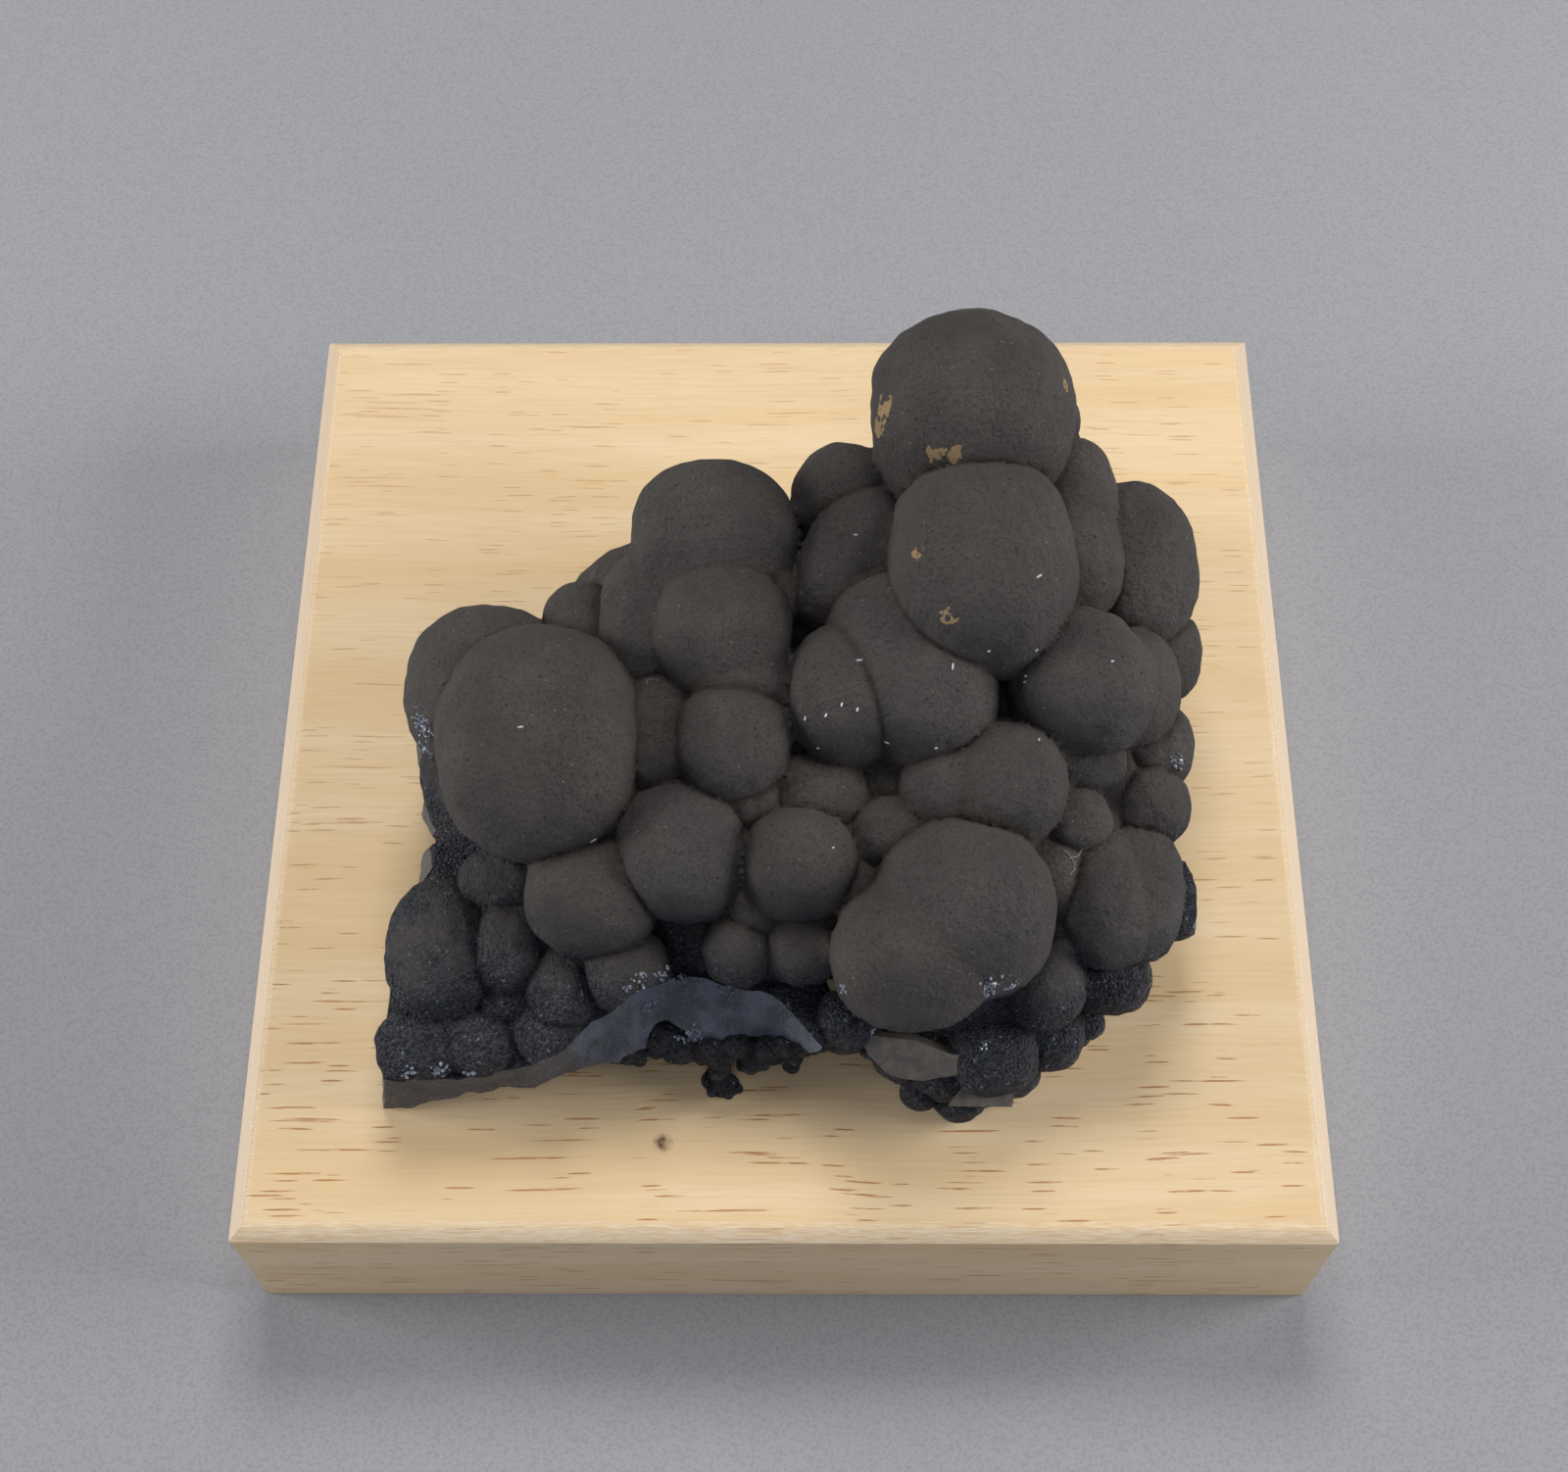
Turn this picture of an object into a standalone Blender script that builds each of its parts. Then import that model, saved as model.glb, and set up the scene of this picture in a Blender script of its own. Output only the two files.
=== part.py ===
"""Romanechite, a botryoidal manganese mineral, on its square pine board.

The specimen is one natural piece: lumps that grew into each other on a
crust, broken along its front, left and right edges and hollow below the front.
It rests on a separate square board with bevelled top edges.

World frame: metres, +Z up, origin at the bottom centre of the board,
+X to the right and +Y to the back of the side the specimen is shown from.
All sizes below are in millimetres and become metres in the helper functions.
"""

import math
import random
from collections import namedtuple

import bmesh
import bpy
from mathutils import Matrix, Vector, noise

MM = 0.001

# board: a four inch square of three quarter inch pine
BOARD_SIDE = 101.6
BOARD_THICKNESS = 19.05
BOARD_BEVEL = 2.1

# the specimen stands on the board with a hair of air below it
CONTACT_GAP = 0.3
REST_HEIGHT = BOARD_THICKNESS + CONTACT_GAP

# skin of a lump: gentle dents, their depth and their width
DENT_DEPTH = 0.22
DENT_WIDTH = 4.0

# half sizes that divide large, middle and small lumps
LARGE_RADIUS = 7.4
SMALL_RADIUS = 3.1

# fineness of the melted skin in mm and the share of its facets that is kept
SKIN_VOXEL = 0.5
SKIN_FACET_SHARE = 0.035
BEARD_VOXEL = 0.3
BEARD_FACET_SHARE = 0.06

# colours, linear red green blue, and roughness
ROMANECHITE_COLOUR = (0.03, 0.027, 0.025)
ROMANECHITE_ROUGHNESS = 0.85
PINE_COLOUR = (0.72, 0.50, 0.27)
PINE_ROUGHNESS = 0.55

# name, centre x y z, half sizes across, deep and tall, lean in degrees
Lump = namedtuple("Lump", "name x y z across deep tall lean")


def lump(name, centre, half_sizes, lean=0.0):
    """One rounded lump; lean turns its long axis towards +X, seen from above."""
    return Lump(name, *centre, *half_sizes, lean)


def crown_and_king():
    """The ball at the back right and the tall lump before it."""
    return [
        lump("crown", (17.5, 18.5, 49.5), (9.5, 9.5, 9.5)),
        lump("crown_ear", (25.5, 20.0, 46.5), (2.6, 2.8, 2.8)),
        lump("king", (18.0, 3.5, 47.5), (8.6, 10.8, 8.4)),
        lump("king_side_back", (27.0, 13.0, 44.0), (4.4, 6.4, 4.4)),
        lump("king_side_front", (27.2, 6.0, 44.5), (4.1, 6.0, 4.0)),
        lump("notch_back", (6.0, 14.0, 42.5), (5.2, 5.2, 5.0)),
        lump("notch_slant", (6.5, 7.5, 43.2), (4.6, 8.8, 4.6), 20.0),
    ]


def east_side():
    """Lumps along the right edge, from the back to the front."""
    return [
        lump("east_high", (33.0, 8.5, 39.0), (6.2, 9.0, 5.8)),
        lump("east_low", (35.8, 1.0, 36.0), (3.6, 5.0, 3.5)),
        lump("knee", (27.0, -6.0, 42.5), (6.6, 6.8, 6.4)),
        lump("knee_side", (32.5, -5.0, 40.0), (4.0, 5.8, 4.0)),
        lump("knee_foot", (27.2, -12.0, 38.5), (4.1, 3.4, 3.2)),
        lump("east_middle", (34.0, -9.0, 36.0), (4.0, 4.6, 3.8)),
        lump("east_cheek", (33.5, -15.0, 35.5), (3.9, 3.9, 3.8)),
        lump("wedge", (29.0, -14.5, 36.5), (2.6, 2.8, 2.5)),
        lump("pea", (26.5, -18.0, 38.0), (3.2, 3.2, 3.1)),
        lump("saddle", (24.3, -21.5, 35.8), (3.8, 5.0, 3.8)),
        lump("flank_left", (29.3, -24.3, 35.6), (4.3, 6.7, 4.2)),
        lump("flank_right", (32.2, -23.2, 34.8), (4.2, 6.5, 4.2)),
        lump("east_dark", (36.3, -21.0, 28.0), (3.0, 4.0, 3.0)),
    ]


def middle_right():
    """The pair under the tall lump and the round pair at the front."""
    return [
        lump("heart_right", (11.5, -5.0, 43.5), (7.3, 9.8, 6.4), -24.0),
        lump("heart_left", (6.0, -7.5, 43.5), (5.5, 6.8, 5.2)),
        lump("heart_foot", (8.5, -14.5, 38.3), (4.2, 3.2, 3.2)),
        lump("heart_bead", (12.0, -15.5, 38.0), (2.2, 2.2, 2.2)),
        lump("bean_left", (15.0, -15.5, 40.5), (4.6, 4.5, 4.4)),
        lump("bean_right", (20.2, -15.5, 41.0), (5.4, 5.6, 5.3)),
        lump("bean_nub", (19.5, -11.0, 41.0), (2.3, 2.3, 2.3)),
        lump("apple_back", (16.0, -26.5, 38.0), (8.2, 7.9, 7.9)),
        lump("apple_front", (11.5, -30.5, 37.5), (7.3, 6.7, 6.6)),
        lump("bud_back", (9.5, -19.5, 39.0), (3.6, 3.5, 3.5)),
        lump("bud_front", (6.5, -24.0, 37.5), (2.5, 3.5, 2.8)),
        lump("plum", (1.5, -22.5, 39.0), (5.2, 5.1, 5.1)),
        lump("plum_back", (3.5, -15.8, 39.0), (5.0, 4.0, 4.0)),
        lump("plum_side", (-2.5, -24.5, 36.0), (2.9, 3.7, 3.0)),
        lump("drop_left", (-4.0, -28.6, 34.4), (3.2, 3.2, 3.2)),
        lump("drop_right", (1.8, -28.6, 34.7), (3.4, 3.4, 3.4)),
    ]


def pillar():
    """The upright row left of the deep cleft, with its narrow rib."""
    return [
        lump("pillar_top", (-6.5, 8.8, 43.0), (7.9, 7.8, 7.6)),
        lump("pillar_shoulder", (-1.2, 3.0, 42.5), (2.9, 3.6, 3.2)),
        lump("pillar_middle", (-5.5, -1.5, 43.6), (6.4, 6.4, 6.0)),
        lump("pillar_waist", (-4.0, -7.0, 42.0), (5.2, 5.0, 4.8)),
        lump("pillar_low", (-4.5, -11.5, 42.0), (5.4, 6.2, 5.2)),
        lump("pillar_heel", (-2.8, -14.5, 39.5), (3.7, 5.0, 3.6)),
        lump("rib_top", (-15.5, 5.5, 40.0), (3.0, 3.0, 3.0)),
        lump("rib_middle", (-12.8, 1.0, 41.5), (4.6, 7.0, 4.6)),
        lump("rib_low", (-11.2, -10.0, 40.8), (3.6, 6.2, 3.6)),
        lump("fist", (-9.0, -21.0, 38.5), (5.9, 6.4, 5.8)),
    ]


def left_side():
    """The big globe and the low paws in front of it."""
    return [
        lump("globe", (-22.0, -11.3, 41.0), (9.4, 11.0, 8.7)),
        lump("globe_back", (-27.4, -4.4, 38.0), (7.8, 8.0, 7.7)),
        lump("stud", (-18.5, 1.0, 40.0), (4.0, 4.6, 4.0)),
        lump("loaf", (-17.0, -24.5, 36.5), (6.2, 5.3, 5.1)),
        lump("loaf_back", (-25.3, -21.3, 33.0), (4.4, 3.4, 3.2)),
        lump("paw_big", (-31.0, -27.0, 30.2), (5.2, 7.0, 4.8)),
        lump("paw_middle", (-24.8, -27.2, 31.0), (4.2, 4.8, 4.1)),
        lump("paw_small", (-24.8, -32.0, 29.3), (2.9, 2.5, 2.5)),
        lump("paw_right", (-20.0, -30.4, 30.8), (3.4, 4.7, 3.5)),
        lump("paw_inner", (-13.8, -29.8, 32.2), (4.1, 3.9, 3.9)),
        lump("toe_left", (-33.0, -35.3, 27.6), (4.6, 3.5, 3.2)),
        lump("toe_middle", (-27.0, -35.0, 27.8), (4.2, 3.4, 3.2)),
        lump("toe_end", (-21.0, -34.3, 28.5), (4.0, 3.6, 3.4)),
    ]


def chin():
    """Small lumps at the lower front right, the lowest on the board."""
    return [
        lump("chin_right", (23.5, -30.5, 32.0), (3.9, 4.7, 4.1)),
        lump("flank_low", (29.5, -29.0, 29.2), (3.9, 3.7, 3.8)),
        lump("chin_low", (24.5, -33.2, 26.0), (3.3, 3.7, 3.4)),
        lump("chin_middle", (19.0, -35.3, 27.0), (4.2, 4.4, 4.2)),
        lump("chin_mass", (16.0, -34.5, 23.5), (6.0, 4.6, 4.6)),
        lump("chin_left", (11.5, -34.8, 24.6), (3.4, 3.0, 3.0)),
        lump("flake", (11.5, -35.2, 27.8), (4.9, 1.9, 0.7)),
        lump("chip", (17.6, -38.0, 23.0), (3.2, 1.5, 0.6)),
        lump("chin_knob", (12.5, -37.6, 22.0), (1.9, 1.7, 2.4)),
        lump("chin_tip", (16.3, -38.0, 21.2), (2.3, 2.0, 2.2)),
        lump("chin_side", (21.0, -35.8, 22.3), (3.0, 2.4, 2.8)),
        lump("chin_bead", (28.3, -32.0, 24.6), (1.5, 1.5, 1.5)),
        lump("chin_heel", (26.0, -30.5, 22.5), (3.4, 3.2, 3.4)),
        lump("jaw", (5.5, -33.3, 28.8), (3.0, 2.7, 3.4)),
        lump("jaw_side", (2.0, -33.0, 28.7), (2.3, 2.1, 2.3)),
    ]


def core():
    """The mass under the lumps, which shows only in the clefts."""
    return [
        lump("core_back_right", (18.0, 9.0, 33.0), (15.0, 14.0, 14.0)),
        lump("core_right", (24.5, -8.0, 30.0), (13.3, 15.0, 10.5)),
        lump("core_front_right", (18.0, -23.0, 27.5), (13.5, 12.0, 9.5)),
        lump("core_middle", (0.0, -2.0, 29.5), (13.0, 16.0, 10.5)),
        lump("core_back_left", (-10.0, 5.0, 30.5), (12.0, 9.5, 11.5)),
        lump("core_left", (-21.0, -7.0, 29.5), (14.5, 12.5, 10.5)),
        lump("pillar_spine", (-8.0, -3.0, 38.0), (6.5, 14.0, 5.0)),
        lump("front_bridge", (-2.0, -22.5, 30.6), (11.0, 8.5, 4.6)),
        lump("wing", (-20.0, -25.0, 27.4), (17.5, 14.0, 3.8)),
        lump("plate_left", (-29.0, -36.0, 25.2), (16.0, 9.0, 2.8)),
        lump("wing_foot", (-35.0, -35.0, 22.0), (9.0, 9.0, 5.6)),
        lump("plate_inner", (-16.5, -33.0, 27.6), (7.0, 6.5, 3.0)),
        lump("plate_front", (-5.5, -32.5, 29.0), (10.5, 6.0, 3.2)),
    ]


# centres of the lumps behind and beside the specimen, left rim to right front
REAR_ROUTE = [
    (-31.0, -4.0), (-27.0, 2.0), (-20.0, 5.5), (-13.0, 9.0), (-6.0, 14.0),
    (2.0, 17.0), (9.0, 21.0), (17.0, 23.0), (25.0, 21.0), (31.0, 15.5),
    (34.0, 8.0), (34.5, 0.0), (34.0, -8.5), (32.0, -16.0),
]
# tier: height, distance inside the route, mean half size, first and last stop
REAR_TIERS = [(22.5, 0.0, 4.2, 0, 13), (28.5, 0.8, 4.5, 0, 13), (34.5, 3.2, 4.2, 2, 9)]
REAR_MIDDLE = (2.0, -4.0)
REAR_SIZE_SPREAD = 1.2
REAR_SHIFT = 0.9
REAR_SEED = 7


def rear_lumps():
    """Tiers of lumps that finish the back and both sides."""
    dice = random.Random(REAR_SEED)
    middle = Vector(REAR_MIDDLE)
    lumps = []
    for tier, (height, inset, size, first, last) in enumerate(REAR_TIERS):
        for step in range(first, last + 1):
            stop = Vector(REAR_ROUTE[step])
            place = stop + (middle - stop).normalized() * inset
            half = size + dice.uniform(-REAR_SIZE_SPREAD, REAR_SIZE_SPREAD)
            shift = [dice.uniform(-REAR_SHIFT, REAR_SHIFT) for _ in range(3)]
            lumps.append(lump(
                f"rear_{tier}_{step}",
                (place.x + shift[0], place.y + shift[1], height + shift[2]),
                (half, half, half)))
    return lumps


def beard():
    """Grape-like lumps that hang under the broken front edge."""
    return [
        lump("beard_root", (-5.0, -30.3, 26.8), (7.2, 3.2, 2.4)),
        lump("grape_1", (-11.2, -33.6, 25.6), (1.8, 1.6, 1.8)),
        lump("grape_2", (-9.3, -34.4, 25.0), (1.6, 1.5, 1.7)),
        lump("grape_3", (-6.6, -34.4, 25.2), (1.6, 1.5, 1.8)),
        lump("grape_4", (-4.4, -34.2, 25.6), (1.4, 1.4, 1.6)),
        lump("grape_5", (-1.6, -34.6, 24.9), (1.3, 1.3, 1.6)),
        lump("grape_6", (0.2, -34.4, 25.2), (1.2, 1.2, 1.6)),
        lump("grape_7", (2.6, -34.0, 25.6), (1.3, 1.3, 1.7)),
        lump("stalk", (-5.6, -35.6, 23.0), (0.9, 1.1, 1.9)),
        lump("drip", (-5.5, -36.6, 20.9), (1.5, 1.2, 1.2)),
    ]


# broken front edge: upper and lower edge of the fracture, left to right
FRONT_UPPER = [
    (-42.0, -37.6, 25.6), (-36.0, -37.5, 25.7), (-29.3, -37.7, 26.3), (-23.0, -37.0, 27.6),
    (-19.5, -35.5, 28.5), (-17.5, -34.0, 29.5), (-15.5, -32.8, 30.5), (-13.0, -31.0, 31.5),
    (-9.5, -30.2, 32.0), (-5.0, -30.9, 31.5), (-1.0, -31.3, 31.0), (1.5, -33.0, 29.5),
    (4.0, -36.5, 29.0),
]
FRONT_LOWER = [
    (-42.0, -38.6, 19.0), (-36.0, -38.6, 19.0), (-29.5, -37.5, 20.7), (-23.0, -37.5, 23.0),
    (-19.5, -36.3, 24.7), (-17.5, -36.0, 25.7), (-15.0, -35.7, 26.2), (-13.0, -35.0, 26.6),
    (-9.5, -33.8, 28.2), (-5.5, -34.1, 27.5), (-1.0, -33.5, 27.8), (1.5, -34.5, 27.5),
    (4.0, -38.0, 27.0),
]

# broken left rim, back to front
LEFT_UPPER = [
    (-34.0, 8.0, 34.0), (-34.2, 1.0, 33.0), (-33.8, -4.5, 32.5), (-32.2, -9.0, 31.5),
    (-32.4, -12.0, 31.0), (-32.6, -18.5, 30.0), (-35.0, -23.0, 30.0), (-35.6, -27.0, 30.0),
    (-36.4, -34.0, 29.0), (-35.8, -44.0, 28.0),
]
LEFT_LOWER = [
    (-37.0, 8.0, 28.0), (-36.8, 1.0, 28.5), (-36.6, -4.5, 28.0), (-34.2, -9.0, 27.5),
    (-34.7, -12.0, 27.0), (-34.5, -18.5, 26.5), (-35.9, -23.0, 26.5), (-36.0, -27.0, 26.5),
    (-36.9, -34.0, 23.0), (-36.7, -44.0, 19.0),
]

# broken right rim, back to front
RIGHT_UPPER = [
    (38.6, 8.0, 31.0), (37.4, 1.0, 31.0), (37.6, -6.0, 31.0), (38.2, -10.0, 30.0),
    (37.4, -16.0, 30.0), (37.8, -27.0, 29.0),
]
RIGHT_LOWER = [
    (40.0, 8.0, 27.0), (38.8, 1.0, 27.0), (39.4, -6.0, 26.5), (39.6, -10.0, 26.0),
    (38.6, -16.0, 26.0), (39.0, -27.0, 25.0),
]

# reach of a fracture cutter: past the edge above, below, and outwards
FRACTURE_TOP = (5.0, 9.0)
FRACTURE_FOOT = (1.5, -6.0)
FRACTURE_REACH = 30.0

# hollow below the front left: its plan, back wall and roof
HOLLOW_LEFT = -46.0
HOLLOW_RIGHT = 7.0
HOLLOW_FRONT = -60.0
HOLLOW_EDGE = -36.0
HOLLOW_BACK_LEFT = -12.0
HOLLOW_BACK_RIGHT = -22.0
HOLLOW_FLOOR = 5.0
HOLLOW_COLUMNS = 16
HOLLOW_ROWS = 9
ROOF_AT_WING = 19.0
ROOF_AT_MIDDLE = 27.6
ROOF_RISE_LEFT = -36.0
ROOF_RISE_RIGHT = -12.0
ROOF_DOME = 2.0
ROOF_BUMPS = 0.6
WALL_BUMPS = 1.5

# round gap that the front edge arches over
ARCH_CENTRE = (-10.4, -34.5, 27.6)
ARCH_HALF_SIZES = (1.9, 4.0, 2.8)


def icosphere_level(radius):
    """More facets on the large lumps, fewer on the small ones."""
    if radius > LARGE_RADIUS:
        return 4
    if radius > SMALL_RADIUS:
        return 3
    return 2


def dent(point):
    """Depth of the gentle dents in the skin at a point, in millimetres."""
    return DENT_DEPTH * noise.noise(point / DENT_WIDTH)


def add_lump(mesh, item):
    """Add one closed lump to a bmesh, in metres."""
    half_sizes = Vector((item.across, item.deep, item.tall))
    level = icosphere_level(max(half_sizes))
    made = bmesh.ops.create_icosphere(mesh, subdivisions=level, radius=1.0)
    turn = Matrix.Rotation(-math.radians(item.lean), 3, "Z")
    centre = Vector((item.x, item.y, item.z))
    for vertex in made["verts"]:
        direction = vertex.co.copy()
        place = centre + turn @ (direction * half_sizes)
        vertex.co = (place + turn @ direction * dent(place)) * MM


def mesh_object(name, mesh):
    """Turn a bmesh into a linked object of that name."""
    bmesh.ops.recalc_face_normals(mesh, faces=mesh.faces)
    data = bpy.data.meshes.new(name)
    mesh.to_mesh(data)
    mesh.free()
    item = bpy.data.objects.new(name, data)
    bpy.context.scene.collection.objects.link(item)
    return item


def lump_object(name, items):
    """All lumps of a list in one object, still as separate closed shells."""
    mesh = bmesh.new()
    for item in items:
        add_lump(mesh, item)
    return mesh_object(name, mesh)


def as_guide(item):
    """Keep a cutter out of the render and show it as wire."""
    item.hide_render = True
    item.display_type = "WIRE"
    return item


def add_boolean(target, operation, operand):
    """Join an operand to the target, or cut it away.

    The exact solver leaves a few open edges on this many small facets.
    """
    step = target.modifiers.new(f"{operation.lower()} {operand.name}", "BOOLEAN")
    step.operation = operation
    step.solver = "MANIFOLD"
    step.object = as_guide(operand)


def add_voxel_union(target, voxel):
    """Melt all the target's overlapping shells into one skin."""
    step = target.modifiers.new("voxel union", "REMESH")
    step.mode = "VOXEL"
    step.voxel_size = voxel * MM


def add_thinning(target, facet_share):
    """Use fewer facets where the skin is nearly flat."""
    step = target.modifiers.new("thinning", "DECIMATE")
    step.decimate_type = "COLLAPSE"
    step.ratio = facet_share


def tube_of_sections(name, sections):
    """Closed solid through rings of points with the same count."""
    mesh = bmesh.new()
    rings = [[mesh.verts.new(Vector(point) * MM) for point in ring] for ring in sections]
    for ring, following in zip(rings, rings[1:]):
        for k in range(len(ring)):
            after = (k + 1) % len(ring)
            mesh.faces.new((ring[k], ring[after], following[after], following[k]))
    mesh.faces.new(rings[0])
    mesh.faces.new(rings[-1])
    return mesh_object(name, mesh)


def fracture_cutter(name, upper, lower, outward):
    """Solid whose near side is the ruled face between the two edges."""
    out = Vector((*outward, 0.0))
    up = Vector((0.0, 0.0, 1.0))
    sections = []
    for high, low in zip(upper, lower):
        high = Vector(high)
        low = Vector(low)
        above = high + out * FRACTURE_TOP[0] + up * FRACTURE_TOP[1]
        below = low + out * FRACTURE_FOOT[0] + up * FRACTURE_FOOT[1]
        sections.append([
            below, low, high, above,
            above + out * FRACTURE_REACH, below + out * FRACTURE_REACH,
        ])
    return tube_of_sections(name, sections)


def roof_height(x, y, depth):
    """Height of the hollow's roof; depth runs from 0 at the front to 1 at the wall."""
    along = (x - ROOF_RISE_LEFT) / (ROOF_RISE_RIGHT - ROOF_RISE_LEFT)
    along = min(max(along, 0.0), 1.0)
    edge = ROOF_AT_WING + (ROOF_AT_MIDDLE - ROOF_AT_WING) * along
    dome = ROOF_DOME * math.sin(math.pi * depth) ** 2
    return edge + dome + ROOF_BUMPS * noise.noise(Vector((x, y, 0.0)) / DENT_WIDTH)


def hollow_cutter():
    """Open space under the front left of the crust, with a bumpy roof."""
    sections = []
    for column in range(HOLLOW_COLUMNS + 1):
        share = column / HOLLOW_COLUMNS
        x = HOLLOW_LEFT + (HOLLOW_RIGHT - HOLLOW_LEFT) * share
        back = HOLLOW_BACK_LEFT + (HOLLOW_BACK_RIGHT - HOLLOW_BACK_LEFT) * share ** 2
        back += WALL_BUMPS * noise.noise(Vector((x, 0.0, 0.0)) / DENT_WIDTH)
        ring = [(x, HOLLOW_FRONT, HOLLOW_FLOOR)]
        for row in range(HOLLOW_ROWS + 1):
            depth = row / HOLLOW_ROWS
            y = HOLLOW_EDGE + (back - HOLLOW_EDGE) * depth
            if row == 0:
                ring.append((x, HOLLOW_FRONT, roof_height(x, y, 0.0)))
            ring.append((x, y, roof_height(x, y, depth)))
        ring.append((x, back, HOLLOW_FLOOR))
        sections.append(ring)
    return tube_of_sections("hollow_cutter", sections)


def box_object(name, lowest, highest):
    """Plain box between two corners given in millimetres."""
    mesh = bmesh.new()
    low = Vector(lowest) * MM
    high = Vector(highest) * MM
    size = high - low
    place = Matrix.Translation((low + high) / 2) @ Matrix.Diagonal((*size, 1.0))
    bmesh.ops.create_cube(mesh, size=1.0, matrix=place)
    return mesh_object(name, mesh)


def plain_material(name, colour, roughness):
    """Principled material with one colour and no metal."""
    material = bpy.data.materials.new(name)
    material.use_nodes = True
    surface = material.node_tree.nodes["Principled BSDF"]
    surface.inputs["Base Color"].default_value = (*colour, 1.0)
    surface.inputs["Roughness"].default_value = roughness
    surface.inputs["Metallic"].default_value = 0.0
    material.diffuse_color = (*colour, 1.0)
    return material


def connected_parts(mesh):
    """Lists of faces that hang together."""
    waiting = set(mesh.faces)
    parts = []
    while waiting:
        front = [waiting.pop()]
        part = []
        while front:
            face = front.pop()
            part.append(face)
            for edge in face.edges:
                for other in edge.link_faces:
                    if other in waiting:
                        waiting.remove(other)
                        front.append(other)
        parts.append(part)
    return parts


def keep_outer_skin(item):
    """Apply the modifiers and drop chips and pockets closed in between lumps."""
    depsgraph = bpy.context.evaluated_depsgraph_get()
    mesh = bmesh.new()
    mesh.from_mesh(item.evaluated_get(depsgraph).to_mesh())
    bmesh.ops.triangulate(mesh, faces=mesh.faces)
    parts = connected_parts(mesh)
    parts.sort(key=lambda part: sum(face.calc_area() for face in part))
    for part in parts[:-1]:
        bmesh.ops.delete(mesh, geom=part, context="FACES")
    item.modifiers.clear()
    mesh.to_mesh(item.data)
    mesh.free()


def melted_lumps(name, lumps, voxel, facet_share):
    """One closed skin round all the lumps of a list."""
    item = lump_object(name, lumps)
    add_voxel_union(item, voxel)
    keep_outer_skin(item)
    add_thinning(item, facet_share)
    return item


def cut_broken_edges(specimen):
    """Cut the hollow, the three broken edges and the arch."""
    cutters = [
        hollow_cutter(),
        fracture_cutter("front_cutter", FRONT_UPPER, FRONT_LOWER, (0.0, -1.0)),
        fracture_cutter("left_cutter", LEFT_UPPER, LEFT_LOWER, (-1.0, 0.0)),
        fracture_cutter("right_cutter", RIGHT_UPPER, RIGHT_LOWER, (1.0, 0.0)),
        lump_object("arch_cutter", [lump("arch", ARCH_CENTRE, ARCH_HALF_SIZES)]),
    ]
    for cutter in cutters:
        add_boolean(specimen, "DIFFERENCE", cutter)


def build_specimen():
    """The whole romanechite as one solid."""
    lumps = (core() + crown_and_king() + east_side() + middle_right() + pillar()
             + left_side() + chin() + rear_lumps())
    specimen = melted_lumps("romanechite", lumps, SKIN_VOXEL, SKIN_FACET_SHARE)
    cut_broken_edges(specimen)
    hanging = melted_lumps("beard_lumps", beard(), BEARD_VOXEL, BEARD_FACET_SHARE)
    add_boolean(specimen, "UNION", hanging)
    half = BOARD_SIDE / 2
    below = box_object("rest_cutter", (-half, -half, 0.0), (half, half, REST_HEIGHT))
    add_boolean(specimen, "DIFFERENCE", below)
    keep_outer_skin(specimen)
    dark = plain_material("romanechite_dark", ROMANECHITE_COLOUR, ROMANECHITE_ROUGHNESS)
    specimen.data.materials.append(dark)


def build_board():
    """Square board with a bevel along its four top edges."""
    half = BOARD_SIDE / 2
    board = box_object("pine_board", (-half, -half, 0.0), (half, half, BOARD_THICKNESS))
    mesh = bmesh.new()
    mesh.from_mesh(board.data)
    top = [edge for edge in mesh.edges
           if all(vertex.co.z > BOARD_THICKNESS * MM / 2 for vertex in edge.verts)]
    bmesh.ops.bevel(mesh, geom=top, offset=BOARD_BEVEL * MM, segments=1, affect="EDGES")
    mesh.to_mesh(board.data)
    mesh.free()
    board.data.materials.append(plain_material("pine", PINE_COLOUR, PINE_ROUGHNESS))


def main():
    for item in list(bpy.data.objects):
        bpy.data.objects.remove(item, do_unlink=True)
    build_board()
    build_specimen()


main()
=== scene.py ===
"""Romanechite on its pine board: the looks, as operators of a Blender add-on.

The specimen is one botryoidal crust of dark manganese oxide, matte and warm
on top, blue-black and granular low down, with a smooth grey break along its
front. The board is planed pine. Sizes are in millimetres unless a name says
metres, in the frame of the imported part: +Z up, origin at the bottom centre of
the board, +Y to the back.
"""

import math
import random
from collections import namedtuple

import bmesh
import bpy
import numpy as np
from mathutils import Matrix, Vector, noise
from mathutils.bvhtree import BVHTree


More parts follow.
